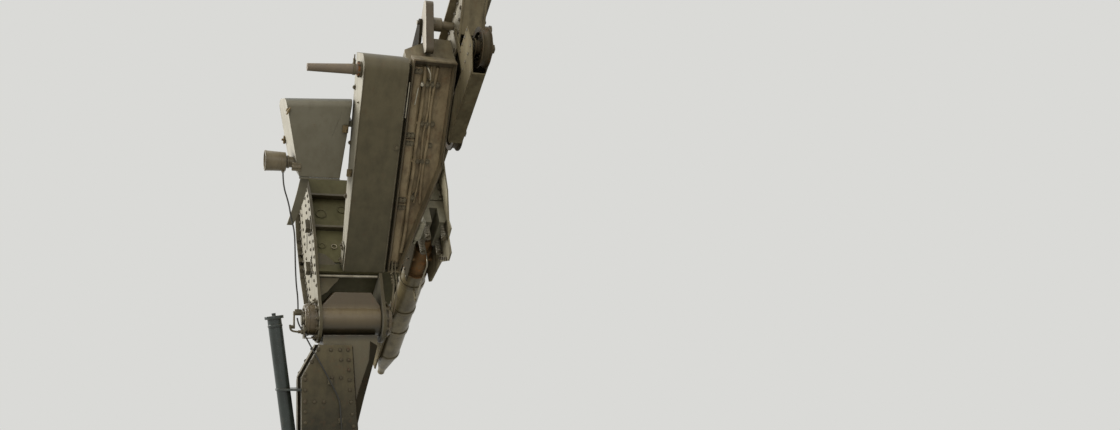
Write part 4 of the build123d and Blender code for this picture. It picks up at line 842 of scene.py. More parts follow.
# Guard plates beside the wheels, hung from the beam; the upper one turns in under the wheels
wheelGuard = {  # rows: start, end, pitch
    "y": -112, "thick": 8, "hangerThick": 10,
    "hangers": (((1292, 70), (1344, 70), (1344, 520), (1292, 520)), ((1824, 70), (1876, 70), (1876, 520), (1824, 520))),
    "outline": ((1282, -118), (1272, 60), (1302, 100), (1820, 100), (1880, 262), (2120, 262),
                (2134, 76), (2006, -118)),
    "edge": ((1290, -112), (1290, -98), (2016, -98), (2010, -112)), "edgeThick": 6,
    "floor": ((1290, -118), (2006, -118), (2011, -110), (1290, -110)), "floorWide": 96,
    "rows": (((1310, 78), (2096, 78), 76), ((1896, 240), (2102, 240), 76), ((1300, -84), (1990, -84), 92)),
}
for side, label in ((1, "Upper"), (-1, "Lower")):
    plates = bmesh.new()
    y = wheelGuard["y"]
    outerY = y - wheelGuard["thick"]
    addPlate(plates, wheelGuard["outline"], y, -wheelGuard["thick"], side)
    for outline in wheelGuard["hangers"]:
        addPlate(plates, outline, y, wheelGuard["hangerThick"], side)
    addPlate(plates, wheelGuard["edge"], outerY, -wheelGuard["edgeThick"], side)
    if label == "Upper":
        addPlate(plates, wheelGuard["floor"], y, wheelGuard["floorWide"], side)
    finishPiece("WheelGuard" + label, plates, "GuardPaint", bevel=1.5)
    guardRivets = []
    for (s1, n1), (s2, n2), pitch in wheelGuard["rows"]:
        guardRivets += rowOf(onLine(side * s1, n1, outerY), onLine(side * s2, n2, outerY), pitch, -across)
    setFasteners(f"WheelGuard{label}Rivets", "rivets", guardRivets,
                 {**rivetSizes, "Head radius": 0.013, "Head height": 0.006}, "carriage")
print("Bogies dressed")

# Plates that close the beam's tapered ends
beamEnd = {"outline": ((1893, 434), (2140, 628), (2140, 636), (1893, 442)), "half": 92}
endPlates = bmesh.new()
for side in (1, -1):
    addPlate(endPlates, beamEnd["outline"], -beamEnd["half"], 2 * beamEnd["half"], side)
finishPiece("BeamEndPlates", endPlates, "BeamPaint", bevel=1)

# Legs: weld seams along the edges and round the mounting pads, lifting pads and side bolts
leg = {
    "outerY": (-828, -490), "innerY": (-465, -130), "lowY": -365, "taperU": -850, "lowU": -1775, "floorV": -88,
    "weldU": (-105, -1765), "weldInset": 5, "pad": ((-1560, -24), (-1740, -24), (-1740, -112), (-1560, -128)),
    "padThick": 10, "padBolts": ((-1590, -52), (-1710, -52), (-1590, -100), (-1710, -90)),
    "sideBolts": ((-330, -255), (-760, -215), (-1190, -175)), "frontBolt": (-700, -520),
    "mountS": (1480, 1720), "mountN": (180, 558, 561), "mountRise": 0.45, "mountY": -101,
}
weldPaths, legSpots = [], []
pads = bmesh.new()
for side in (1, -1):
    sideY = leg["outerY"][0]
    for y, inset in zip(leg["outerY"], (leg["weldInset"], -leg["weldInset"])):
        weldPaths.append([onLeg(u, 0.5, y + inset, side) for u in leg["weldU"]])
    addPrism(pads, [onLeg(u, v, sideY, side) for u, v in leg["pad"]], across * -leg["padThick"] * mm)
    legSpots += [(onLeg(u, v, sideY - leg["padThick"], side), -across) for u, v in leg["padBolts"]]
    legSpots += [(onLeg(u, v, sideY, side), -across) for u, v in leg["sideBolts"]]
    legSpots.append((onLeg(leg["frontBolt"][0], 0, leg["frontBolt"][1], side), legOut(side)))
finishPiece("LegPads", pads, "LegPaint", bevel=2)
for side in (1, -1):
    (s1, s2), (low, high, top), y = leg["mountS"], leg["mountN"], leg["mountY"]
    for s in (s1, s2):
        weldPaths.append([onLine(side * s, low + (s - s1) * leg["mountRise"], y), onLine(side * s, high, y)])
    weldPaths.append([onLine(side * s1, top, y), onLine(side * s2, top, y)])
layWelds("FrameWelds", weldPaths, {"Finish": finishes["OlivePaint"]}, "carriage")


def rightWall(u):
    share = max(0, (u - leg["taperU"]) / (leg["lowU"] - leg["taperU"]))
    return leg["innerY"][1] + (leg["lowY"] - leg["innerY"][1]) * share


# Inner legs: a duct, pipes and clips in the open channel, and a seam strip between each pair of legs
channel = {  # pipes: y, v, radius, sway, stops, clips
    "ducts": ((-1752, -1180), (-1172, -640), (-632, -70)), "ductY": (-452, -372), "ductV": (-86, -44),
    "ductCorner": (16, 14), "ductBolt": (30, 26),
    "pipes": ((-352, -66, 16, 10, 7, 4), (-300, -74, 9, 16, 5, 3), (-262, -72, 12, -12, 5, 3)),
    "stops": (-64, -380, -620, -900, -1180, -1400, -1620), "swayBack": -0.4, "wallGap": 34,
    "clipU": -200, "clipPitch": 310, "clipSpare": (26, 22, 10), "clipBolt": (5, 7),
    "lips": ((-465, -465, -12, -1763), (-142, -142, -12, -850), (-142, -377, -850, -1763)),
    "lipV": 0.2, "lipSize": (12, 9.2), "liningU": (-62, -850, -1758), "liningLeft": -460, "liningGap": 14,
    "lining": 1, "seams": ((-62, -170), (-470, -1762)), "seamAt": (-34, -489.5), "seamSize": (24, 12),
}
for side, label in ((1, "Upper"), (-1, "Lower")):
    out, along = legOut(side), legAlong(side)
    lining = bmesh.new()
    floorEdge = [(u, rightWall(u) - channel["liningGap"]) for u in channel["liningU"]]
    floorEdge = [(floorEdge[0][0], channel["liningLeft"]), *floorEdge, (floorEdge[-1][0], channel["liningLeft"])]
    addPrism(lining, [onLeg(u, leg["floorV"], y, side) for u, y in floorEdge], out * channel["lining"] * mm)
    finishPiece("ChannelLining" + label, lining, "LiningPaint")

    duct = bmesh.new()
    (y1, y2), (v1, v2), (wide, deep) = channel["ductY"], channel["ductV"], channel["ductCorner"]
    section = [(y1, v1), (y1, v2 - deep), (y1 + wide, v2), (y2 - wide, v2), (y2, v2 - deep), (y2, v1)]
    endIn, sideIn = channel["ductBolt"]
    for low, high in channel["ducts"]:
        addPrism(duct, [onLeg(low, v, y, side) for y, v in section], along * (high - low) * mm)
        for u in (low + endIn, high - endIn):
            legSpots += [(onLeg(u, v2, y, side), out) for y in (y1 + sideIn, y2 - sideIn)]
    finishPiece("LegDuct" + label, duct, "LiningPaint", bevel=1.5)

    pipes, clips = bmesh.new(), bmesh.new()
    clipWide, clipLong, clipDeep = channel["clipSpare"]
    boltV, boltY = channel["clipBolt"]
    for y, v, radius, sway, stopCount, clipCount in channel["pipes"]:
        path = []
        for k, u in enumerate(channel["stops"][:stopCount]):
            swayed = y + (sway if k % 2 else sway * channel["swayBack"])
            path.append(onLeg(u, v, min(swayed, rightWall(u) - channel["wallGap"]), side))
        addRod(pipes, rounded(path), radius, 14)
        for k in range(clipCount):
            u = channel["clipU"] - k * channel["clipPitch"]
            addBox(clips, onLeg(u, (v + leg["floorV"]) / 2, y, side), across, along,
                   (radius * 2 + clipWide, clipLong, abs(leg["floorV"] - v) + clipDeep))
            legSpots.append((onLeg(u, v + boltV, y + radius + boltY, side), out))
    finishPiece("LegPipes" + label, pipes, "LiningPaint")
    finishPiece("PipeClips" + label, clips, "LiningPaint", bevel=1)

    lips, seam = bmesh.new(), bmesh.new()
    wide, deep = channel["lipSize"]
    for y1, y2, u1, u2 in channel["lips"]:
        start, end = onLeg(u1, channel["lipV"], y1, side), onLeg(u2, channel["lipV"], y2, side)
        addBar(lips, start, end, across * wide * mm, out * -deep * mm)
    finishPiece("ChannelLips" + label, lips, "LipPaint")
    wide, deep = channel["seamSize"]
    for u1, u2 in channel["seams"]:
        start, end = onLeg(u1, *channel["seamAt"], side), onLeg(u2, *channel["seamAt"], side)
        addBar(seam, start, end, across * wide * mm, out * -deep * mm)
    finishPiece("LegSeam" + label, seam, "ShadePaint")

# Bright worn bits on the upper inner leg, and bolts on its floor
worn = {
    "lug": (-200, -70, -368), "lugSize": (46, 34, 36), "nutV": -52,
    "nut": ((0, 0), (15, 0), (15, 12), (9, 16), (0, 16)),
    "rods": (
        (5, ((-216, -6, -405), (-349, -6, -416))),
        (4.5, ((-176, 4, -478), (-330, 3, -478), (-457, 2, -478))),
        (7, ((-60, -70, -350), (-60, 6, -350), (-96, 6, -330), (-150, -20, -318), (-170, -84, -318))),
    ),
    "bolts": ((-514, -407), (-536, -285), (-828, -444), (-1304, -444), (-690, -236), (-1110, -300)),
}
bits = bmesh.new()
out, up = legOut(), legAlong()
u, v, y = worn["lug"]
addBox(bits, onLeg(u, v, y), across, up, worn["lugSize"])
addTurned(bits, onLeg(u, worn["nutV"], y), out, worn["nut"], 18)
for radius, points in worn["rods"]:
    addRod(bits, [onLeg(*point) for point in points], radius)
finishPiece("WornBits", bits, "WornSteel", bevel=1.5)
legSpots += [(onLeg(u, leg["floorV"], y), out) for u, y in worn["bolts"]]
setFasteners("LegBolts", "bolts", legSpots, {**boltSizes, "Stud length": 0.005}, "carriage")

# Grease cup on the outer wall of the upper inner leg, held by two straps
cup = {
    "u": -1340, "v": -45, "stand": 33, "straps": (25, 125), "strapWide": 14, "strap": (35, 31),
    "foot": (14, 40, 22), "footIn": 24,
    "profile": ((0, -6), (20, -6), (20, 0), (32, 0), (32, 150), (22, 158), (12, 160), (12, 190), (0, 190)),
}
cupParts = bmesh.new()
wallWay = (onLeg(leg["lowU"], 0, leg["lowY"]) - onLeg(leg["taperU"], 0, leg["innerY"][1])).normalized()
cupAt = onLeg(cup["u"], cup["v"], rightWall(cup["u"]) + cup["stand"])
addTurned(cupParts, cupAt, wallWay, cup["profile"], 28)
for reach in cup["straps"]:
    addRing(cupParts, cupAt, wallWay, *cup["strap"], reach, reach + cup["strapWide"], 28)
    footAt = cupAt + (wallWay * (reach + cup["strapWide"] / 2) - across * cup["footIn"]) * mm
    addBox(cupParts, footAt, wallWay, out, cup["foot"])
finishPiece("GreaseCup", cupParts, "HousingGrey", bevel=1)

# Grease pipes from the upper inner leg to the bearings, with nipples and a hook
grease = {  # pipes: y, radius, x at the bearing
    "pipes": ((-430, 9, 40), (-404, 6, 28)), "legPoints": ((-1690, -40), (-1790, 10)),
    "linePoints": ((245, -640), (228, -720)), "endPoints": ((60, -26, 60), (0, -34, 40)),
    "hook": ((226, -600, -412), (262, -620, -412), (268, -668, -412), (240, -684, -410), (224, -664, -408)),
    "hookRadius": 6, "nipples": (-606, -640, -672, -700), "nippleAt": (236, -440),
    "nipple": ((0, -12), (11, -12), (11, 4), (7, 8), (0, 8)),
}
greasePipes = bmesh.new()
for y, radius, x in grease["pipes"]:
    path = [onLeg(u, v, y) for u, v in grease["legPoints"]] + [onLine(s, n, y) for s, n in grease["linePoints"]]
    path += [onHanger(x + xMore, y + yMore, z) for xMore, yMore, z in grease["endPoints"]]
    addRod(greasePipes, rounded(path), radius)
addRod(greasePipes, rounded([onLine(*point) for point in grease["hook"]]), grease["hookRadius"])
for n in grease["nipples"]:
    s, y = grease["nippleAt"]
    addTurned(greasePipes, onLine(s, n, y), lineDir, grease["nipple"], 12)
finishPiece("GreasePipes", greasePipes, "BoltSteel")
print("Legs dressed")

# Housing over the rope brake, between the guards, with strips and bolts on its uphill end
housing = {
    "s": (70, 306), "n": (158, 548), "half": 93, "strip": (14, 8), "stripS": 309, "band": (150, 26, 8),
    "bandN": 350, "boltS": 313, "boltN": (190, 270, 430, 510), "boltY": (-86, 86),
}
cover = bmesh.new()
(s1, s2), (n1, n2) = housing["s"], housing["n"]
middleN = (n1 + n2) / 2
addBox(cover, onLine((s1 + s2) / 2, middleN), lineDir, lineUp, (s2 - s1, n2 - n1, housing["half"] * 2))
wide, thick = housing["strip"]
for y in housing["boltY"]:
    addBox(cover, onLine(housing["stripS"], middleN, y), across, lineUp, (wide, n2 - n1, thick))
addBox(cover, onLine(housing["stripS"], housing["bandN"]), across, lineUp, housing["band"])
finishPiece("BrakeHousing", cover, "HousingGrey", bevel=3)
housingSpots = [(onLine(housing["boltS"], n, y), lineDir) for n in housing["boltN"] for y in housing["boltY"]]
setFasteners("HousingBolts", "bolts", housingSpots, {
    **boltSizes, "Head radius": 0.011, "Washer radius": 0.015, "Stud radius": 0.005, "Stud length": 0.004}, "carriage")

# Round covers on the web, one with a bright rim, a tie rod across it, and the gusset at its foot
web = {  # discs and rim: y, n, radius
    "face": 160, "discs": ((-937, 66, 38), (-960, -278, 22), (-760, 120, 30)), "lip": (8, 6),
    "disc": (1, 2), "rim": (-863, -285, 26), "rimSize": 9, "rod": ((185, -603, -1028), (185, -603, -546)),
    "rodRadius": 11.5, "gussetFace": 168, "gussetThick": 5,
    "gusset": ((-1026, -352), (-947, -375), (-893, -437), (-848, -505), (-845, -588), (-868, -640),
               (-915, -690), (-960, -752), (-1026, -800)),
}
discs, rims = bmesh.new(), bmesh.new()
for y, n, radius in web["discs"]:
    (lipWide, lipHigh), (spare, thick) = web["lip"], web["disc"]
    addRing(discs, onLine(web["face"], n, y), lineDir, radius + lipWide, radius, 0, lipHigh, 28)
    profile = [(0, 0), (radius + spare, 0), (radius + spare, thick), (0, thick)]
    addTurned(discs, onLine(web["face"], n, y), lineDir, profile, 28)
y, n, radius = web["rim"]
addRing(rims, onLine(web["face"], n, y), lineDir, radius, radius - web["rimSize"], 0, web["rimSize"], 28)
finishPiece("WebDiscs", discs, "WebPaint")
finishPiece("WebRim", rims, "CheekPaint", bevel=1)
tieRod = bmesh.new()
addRod(tieRod, [onLine(*point) for point in web["rod"]], web["rodRadius"], 16)
finishPiece("TieRod", tieRod, "WornSteel")
gusset = bmesh.new()
addPrism(gusset, [onLine(web["gussetFace"], n, y) for y, n in web["gusset"]], lineDir * web["gussetThick"] * mm)
finishPiece("Gusset", gusset, "OlivePaint", bevel=1.5)

# Hood: shell with a rounded top and a rail on its right side
hoodShell = {
    "front": -200, "back": -540, "topU": (-440, -560), "lowU": -1060, "leftY": (-1345, -1203, -1245),
    "rightY": (-845, -889, -845), "rise": 38, "rounds": (50, 90), "steps": 7,
    "rail": ((-590, -230), (-640, -230), (-640, -500), (-590, -500)), "railY": -860, "railWide": 32,
}


def hoodCorners(sizes):
    (front, back), (u1, u2), (r1, r2) = (sizes["front"], sizes["back"]), sizes["topU"], sizes["rounds"]
    corners = [(sizes["lowU"], back), (u2, back), (u1, front), (sizes["lowU"], front)]
    path = [corners[0]]
    for k, radius in ((1, r2), (2, r1)):
        at, before, after = Vector(corners[k]), Vector(corners[k - 1]), Vector(corners[k + 1])
        toBefore, toAfter = (before - at).normalized(), (after - at).normalized()
        spread = toBefore.angle(toAfter)
        reach = radius / math.tan(spread / 2)
        middle = at + (toBefore + toAfter).normalized() * radius / math.sin(spread / 2)
        start, end = at + toBefore * reach - middle, at + toAfter * reach - middle
        for step in range(sizes["steps"] + 1):
            turn = start.lerp(end, step / sizes["steps"]).normalized() * radius
            path.append(tuple(middle + turn))
    return path + [corners[3]]


def hoodSide(u, v, topLowFrontLowBack, sizes):
    top, lowFront, lowBack = topLowFrontLowBack
    down = (sizes["topU"][0] - u) / (sizes["topU"][0] - sizes["lowU"])
    deep = (sizes["front"] - v) / (sizes["front"] - sizes["back"])
    y = top + (lowFront - top) * down + (lowBack - lowFront) * deep
    return max(y, top) if lowFront > top else min(y, top)


shell = bmesh.new()
hoodPath = hoodCorners(hoodShell)
hoodHigh = hoodShell["topU"][0] - hoodShell["lowU"]
leftRing = [shell.verts.new(onLeg(u, v, hoodSide(u, v, hoodShell["leftY"], hoodShell))) for u, v in hoodPath]
rightRing = []
for u, v in hoodPath:
    raised = u + hoodShell["rise"] * (u - hoodShell["lowU"]) / hoodHigh
    rightRing.append(shell.verts.new(onLeg(raised, v, hoodSide(u, v, hoodShell["rightY"], hoodShell))))
shell.faces.new(leftRing)
shell.faces.new(rightRing[::-1])
for k in range(len(hoodPath)):
    j = (k + 1) % len(hoodPath)
    shell.faces.new((leftRing[k], rightRing[k], rightRing[j], leftRing[j]))
addPrism(shell, [onLeg(u, v, hoodShell["railY"]) for u, v in hoodShell["rail"]], across * hoodShell["railWide"] * mm)
hoodPiece = finishPiece("HoodShell", shell, "HoodPaint", bevel=5)
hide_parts("hood")

# Latches, handle and hinge of the hood, its drip edge and one long scratch; the places are (out, up) from a latch
hoodTrim = {
    "latches": ((-645, -200, -884), (-948, -62, -846)), "plate": (44, 58, 16), "catch": (26, 30, 12),
    "plateAt": (8, 0), "catchAt": (20, 8), "pinAt": (12, -12),
    "pin": ((0, 0), (10, 0), (10, 20), (7, 23), (0, 23)), "handleAt": (-532, -200, -1322), "handle": (60, 12, 8),
    "handleOut": 24, "handleTilt": 0.4, "handlePin": ((0, 0), (16, 0), (16, 8), (8, 12), (8, 30), (0, 30)),
    "hingeAt": (-885, -528, -1290), "hinge": (60, 26, 18), "hingePinAt": (-885, -528, -1298),
    "hingePin": ((0, 0), (9, 0), (9, 14), (0, 14)), "dripAt": (-1060, -204, -1203), "drip": (314, 9, 14),
    "scratch": ((-520, -200, -925), (-725, -200, -985)), "scratchSize": (0.6, 4),
}
out, up = legOut(), legAlong()
hoodFittings = bmesh.new()
for u, v, y in hoodTrim["latches"]:
    plateAt, catchAt, pinAt = (
        onLeg(u + rise, v + lift, y) for lift, rise in (hoodTrim["plateAt"], hoodTrim["catchAt"], hoodTrim["pinAt"]))
    addBox(hoodFittings, plateAt, across, up, hoodTrim["plate"])
    addBox(hoodFittings, catchAt, across, up, hoodTrim["catch"])
    addTurned(hoodFittings, pinAt, out, hoodTrim["pin"], 14)
at = onLeg(*hoodTrim["handleAt"])
tilted = up + across * hoodTrim["handleTilt"]
addTurned(hoodFittings, at, out, hoodTrim["handlePin"], 14)
addBox(hoodFittings, at + out * hoodTrim["handleOut"] * mm, tilted, across, hoodTrim["handle"])
addBox(hoodFittings, onLeg(*hoodTrim["hingeAt"]), up, out, hoodTrim["hinge"])
addTurned(hoodFittings, onLeg(*hoodTrim["hingePinAt"]), -across, hoodTrim["hingePin"], 12)
finishPiece("HoodLatches", hoodFittings, "LatchBronze", bevel=1.5)

drip = bmesh.new()
start, (wide, deep, high) = onLeg(*hoodTrim["dripAt"]), hoodTrim["drip"]
addBar(drip, start, start + across * wide * mm, out * deep * mm, up * -high * mm)
start, end = (onLeg(*place) for place in hoodTrim["scratch"])
deep, wide = hoodTrim["scratchSize"]
addBar(drip, start, end, out * deep * mm, across * wide * mm)
finishPiece("HoodDripEdge", drip, "HoodPaint")

# Grip: clamp with its spike, a collar, and bolts round the fitting
grip = {
    "u": -145, "v": -100, "ringY": -884, "ring": (45, 37, -9, 9), "blockUp": 56, "block": (26, 18, 22),
    "spike": ((50, -884), (108, -886)), "spikeRadius": 5, "nutAt": (70, -886), "collarY": -836,
    "nut": ((0, 0), (10, 0), (10, 8), (0, 8)), "collar": (58, 48, -8, 6), "boltY": -842, "boltCircle": 53,
    "bolts": 6, "boltTurn": 0.4, "sideBolt": (-385, -60, -828),
}


def onGrip(rise, y):
    return onLeg(grip["u"] + rise, grip["v"], y)


gripParts = bmesh.new()
addRing(gripParts, onGrip(0, grip["ringY"]), -across, *grip["ring"], 30)
addBox(gripParts, onGrip(grip["blockUp"], grip["ringY"]), up, across, grip["block"])
addRod(gripParts, [onGrip(*place) for place in grip["spike"]], grip["spikeRadius"])
addTurned(gripParts, onGrip(*grip["nutAt"]), up, grip["nut"], 6)
addRing(gripParts, onGrip(0, grip["collarY"]), -across, *grip["collar"], 36)
finishPiece("GripClamp", gripParts, "BoltSteel", bevel=1)
gripSpots = circleOf(onGrip(0, grip["boltY"]), across, grip["boltCircle"], grip["bolts"], -across, grip["boltTurn"])
gripSpots.append((onLeg(*grip["sideBolt"]), -across))
setFasteners("GripBolts", "bolts", gripSpots, {
    **boltSizes, "Head radius": 0.007, "Head height": 0.008, "Washer radius": 0.009, "Stud radius": 0.004,
    "Stud length": 0.005}, "carriage")

# Bands and bracket of the horn
horn = {
    "u": -981, "v": -300, "bracketAt": (-981, -208, -1228), "bracket": (70, 64, 22), "lugRadius": 14,
    "bands": ((79.5, 70, -1459, -1449, 40), (74.5, 70, -1350, -1340, 40), (50, 42, -1292, -1276, 32)),
    "lug": ((-981, -202, -1262), (-981, -202, -1196)),
}
hornBits = bmesh.new()
hornMiddle = onLeg(horn["u"], horn["v"])
for band in horn["bands"]:
    addRing(hornBits, hornMiddle, across, *band)
addBox(hornBits, onLeg(*horn["bracketAt"]), across, up, horn["bracket"])
addRod(hornBits, [onLeg(*place) for place in horn["lug"]], horn["lugRadius"])
finishPiece("HornFittings", hornBits, "HornBrown", bevel=1.5)
print("Hood dressed")

# Hanger: rivets on both plates, edge angles, and two dark strips, on the neck and along the front plate's edge, that
# are painted shade
hanger = {
    "faces": ((150, 1), (-150, -1)), "pitch": 88, "plate": 14,
    "rivetLines": (
        ((-1150, -470), (-1150, -1235), (-330, -1880), (180, -1910)),
        ((-772, -895), (-772, -1080), (-190, -1668), (180, -1668)),
        ((-1050, -235), (-1150, -430)), ((-816, -240), (-800, -560), (-772, -850)),
        ((-942, -461), (-871, -462)), ((-1152, -648), (-1005, -648)),
        ((-950, -240), (-879, -240)), ((-871, -319), (-808, -320)),
    ),
    "angle": ((-1036, -200), (-1178, -457), (-1178, -1215)), "angleWide": 52, "angleThick": 7, "angleGap": 1,
    "neckX": 136, "neckThick": 6,
    "neck": ((-636, -170), (-645, -322), (-726, -561), (-772, -735), (-760, -800), (-745, -862),
             (-685, -620), (-610, -345), (-578, -206)),
    "edgeShadow": ((-786, -214), (-744, -865), (-744, -1088)), "edgeShadowX": 137, "edgeShadowSize": (12, 9),
}
right = Vector((1, 0, 0))
hangerSpots = []
for face, way in hanger["faces"]:
    for path in hanger["rivetLines"]:
        hangerSpots += rowAlong([onHanger(face, y, z) for y, z in path], hanger["pitch"], right * way)
setFasteners("HangerRivets", "rivets", hangerSpots, rivetSizes, "hanger")

angles = bmesh.new()
for low, high in zip(hanger["angle"], hanger["angle"][1:]):
    inward = right.cross((onHanger(0, *high) - onHanger(0, *low)).normalized())
    gap = inward * hanger["angleGap"] * mm
    for face, way in hanger["faces"]:
        start, end = (onHanger(face - way * hanger["plate"], *place) + gap for place in (low, high))
        addBar(angles, start, end, right * -way * hanger["angleWide"] * mm, inward * hanger["angleThick"] * mm)
finishPiece("HangerAngles", angles, "HangerPaint", body="hanger")

# A dark strip on the neck beside the front plate: painted shade.
neckShadeStrip = bmesh.new()
addPrism(neckShadeStrip, [onHanger(hanger["neckX"], y, z) for y, z in hanger["neck"]], right * hanger["neckThick"] * mm)
finishPiece("NeckShadeStrip", neckShadeStrip, "ShadePaint", bevel=1, body="hanger")
# A dark thin strip along the front plate's right edge: a painted shadow line.
edgeShadow = bmesh.new()
wide, deep = hanger["edgeShadowSize"]
for low, high in zip(hanger["edgeShadow"], hanger["edgeShadow"][1:]):
    start, end = onHanger(hanger["edgeShadowX"], *low), onHanger(hanger["edgeShadowX"], *high)
    addBar(edgeShadow, start, end, right * wide * mm, across * deep * mm)
finishPiece("PlateEdgeShadow", edgeShadow, "ShadePaint", body="hanger")

# Bands round the capped tube
tube = {"top": (15, -1370, 0), "run": (108, 864), "band": (57, 53), "bandWide": 18, "drops": (40, 1130)}
tubeBands = bmesh.new()
lean = math.atan2(*tube["run"])
tubeDown = Vector((0, math.sin(lean), -math.cos(lean)))
for drop in tube["drops"]:
    addRing(tubeBands, onHanger(*tube["top"]), tubeDown, *tube["band"], drop, drop + tube["bandWide"])
finishPiece("TubeBands", tubeBands, "TubePaint", bevel=1, body="hanger")
print("Hanger dressed")

# Rope trough: hoop round its lower end, and bolts on its straps
trough = {
    "hoopS": -1836, "hoopHalf": 14, "hoopRadius": (111.5, 117), "arc": 208, "steps": 26, "face": 100,
    "boltS": -275, "boltN": (-38, 38),
}
hoops = bmesh.new()
half = math.radians(trough["arc"] / 2)
(inner, outer), halfWide, steps = trough["hoopRadius"], trough["hoopHalf"], trough["steps"]
quads = []
for k in range(steps + 1):
    a = -half + 2 * half * k / steps
    radial = across * math.sin(a) - lineUp * math.cos(a)
    section = ((-halfWide, inner), (-halfWide, outer), (halfWide, outer), (halfWide, inner))
    quads.append([hoops.verts.new(onLine(trough["hoopS"] + d, 0) + radial * r * mm) for d, r in section])
for a, b in zip(quads, quads[1:]):
    for i in range(4):
        j = (i + 1) % 4
        hoops.faces.new((a[i], a[j], b[j], b[i]))
hoops.faces.new(quads[0][::-1])
hoops.faces.new(quads[-1])
finishPiece("TroughHoops", hoops, "TroughSteel")
troughSpots = []
for s in straps["places"]:
    for side in (-1, 1):
        troughSpots += [(onLine(s, n, side * straps["boltY"]), across * side) for n in straps["boltN"]]
for side in (-1, 1):
    troughSpots += [(onLine(trough["boltS"], n, side * trough["face"]), across * side) for n in trough["boltN"]]
setFasteners("StrapBolts", "bolts", troughSpots, {**boltSizes, "Head radius": 0.013}, "carriage")

# Rope brake: springs on studs either side
brake = {
    "s": (40, 240), "y": 72, "studN": (-232, -60), "studRadius": 9, "springN": -215,
    "nut": ((0, 0), (28, 0), (28, 5), (17, 6), (17, 16), (0, 16)),
}
springSpots, studs = [], bmesh.new()
for side in (-1, 1):
    for s in brake["s"]:
        springAt = onLine(s, brake["springN"], side * brake["y"])
        springSpots.append((springAt, lineUp))
        addRod(studs, [onLine(s, n, side * brake["y"]) for n in brake["studN"]], brake["studRadius"])
        addTurned(studs, springAt, -lineUp, brake["nut"], 16)
setFasteners("BrakeSprings", "springs", springSpots, {
    "Length": 0.142, "Coil radius": 0.022, "Wire radius": 0.0045, "Turns": 8.0, "Finish": finishes["WornSteel"]},
    "carriage")
finishPiece("BrakeStuds", studs, "BoltSteel")
print("Rope gear dressed")

# Thin cables: here everything is in metres
cables = {
    "diameter": 0.012, "glandDrop": (0.0, -1.320, -0.084),
    "fall": ((1.0, -1.320, 0.913), (0.946, -1.275, 0.794), (0.773, -1.254, 0.695), (0.635, -1.225, 0.609),
             (0.552, -1.219, 0.493), (0.414, -1.214, 0.370), (0.262, -1.204, 0.240)),
    "pivotEnd": ((0.0, -1.185, 0.168), (0.0, -1.185, 0.084)),
    "onHanger": ((0.000, -1.191, 0.014), (0.010, -1.186, -0.028), (0.040, -1.158, -0.085), (0.090, -1.130, -0.150),
                 (0.152, -1.100, -0.225), (0.176, -1.042, -0.335), (0.180, -0.984, -0.444), (0.176, -0.933, -0.540),
                 (0.168, -0.886, -0.640), (0.165, -0.876, -0.750), (0.165, -0.870, -0.870)),
}
glandAt = hornMiddle + Vector(cables["glandDrop"])
fall = glandAt - pivot
fromHorn = [glandAt]                            # from here each point takes its share of the way down
fromHorn += [pivot + Vector((fall.x * xShare, y, fall.z * zShare)) for xShare, y, zShare in cables["fall"]]
fromHorn += [pivot + Vector(p) for p in cables["pivotEnd"]]
routes = {
    "CableOnCarriage": ("carriage", "cable_carriage", 1.086, fromHorn),
    "CableOnHanger": ("hanger", "cable_hanger", 0.998, [pivot + Vector(p) for p in cables["onHanger"]]),
}
for name, (body, nodeName, length, points) in routes.items():
    curve = bpy.data.curves.new(name, "CURVE")
    curve.dimensions = "3D"
    curve.bevel_depth = cables["diameter"] / 2
    curve.bevel_resolution = 4
    curve.use_fill_caps = True
    spline = curve.splines.new("NURBS")
    spline.points.add(len(points) - 1)
    for control, p in zip(spline.points, points):
        control.co = (*p, 1.0)
    spline.order_u = 3
    spline.use_endpoint_u = True
    spline.resolution_u = 12
    curve.materials.append(finishes["CableSheath"])
    cable = bpy.data.objects.new(name, curve)
    bpy.context.scene.collection.objects.link(cable)
    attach(cable, body)
    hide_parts(nodeName)
print("Cables laid")

# Floor, light and camera, in metres
stageSizes = {
    "floorDrop": 0.9, "floorHalf": 400.0, "floorLift": 0.56, "fadeFrom": 5.0, "fadeTo": 19.0, "floorRough": 0.9,
    "floorShine": 0.1, "ambient": 0.8,
}
stageTones = {"floor": tone(136, 136, 133), "backdrop": tone(218, 218, 215), "ambient": tone(240, 238, 231)}


def seenDirectly(tree):
    rays = addNode(tree, "ShaderNodeLightPath").outputs
    return calc(tree, "MAXIMUM", rays["Is Camera Ray"],
                calc(tree, "MAXIMUM", rays["Is Glossy Ray"], rays["Is Transmission Ray"]))


floorMesh = bpy.data.meshes.new("Floor")
floorZ = cadBox[0][2] - stageSizes["floorDrop"]
h = stageSizes["floorHalf"]
floorMesh.from_pydata([(-h, -h, floorZ), (h, -h, floorZ), (h, h, floorZ), (-h, h, floorZ)], [], [(0, 1, 2, 3)])
floor = bpy.data.objects.new("Floor", floorMesh)
bpy.context.scene.collection.objects.link(floor)
floorPaint = bpy.data.materials.new("FloorPaint")
floorPaint.use_nodes = True
floorTree = floorPaint.node_tree
floorShader = floorTree.nodes["Principled BSDF"]
floorShader.inputs["Base Color"].default_value = stageTones["floor"]
floorShader.inputs["Roughness"].default_value = stageSizes["floorRough"]
floorShader.inputs["Specular IOR Level"].default_value = stageSizes["floorShine"]
glow = addNode(floorTree, "ShaderNodeEmission", {"Color": stageTones["backdrop"], "Strength": stageSizes["floorLift"]})
lifted = addNode(floorTree, "ShaderNodeAddShader", {0: floorShader.outputs[0], 1: glow.outputs[0]})
paper = addNode(floorTree, "ShaderNodeEmission", {"Color": stageTones["backdrop"], "Strength": 1.0})
floorPlace = addNode(floorTree, "ShaderNodeTexCoord").outputs["Object"]
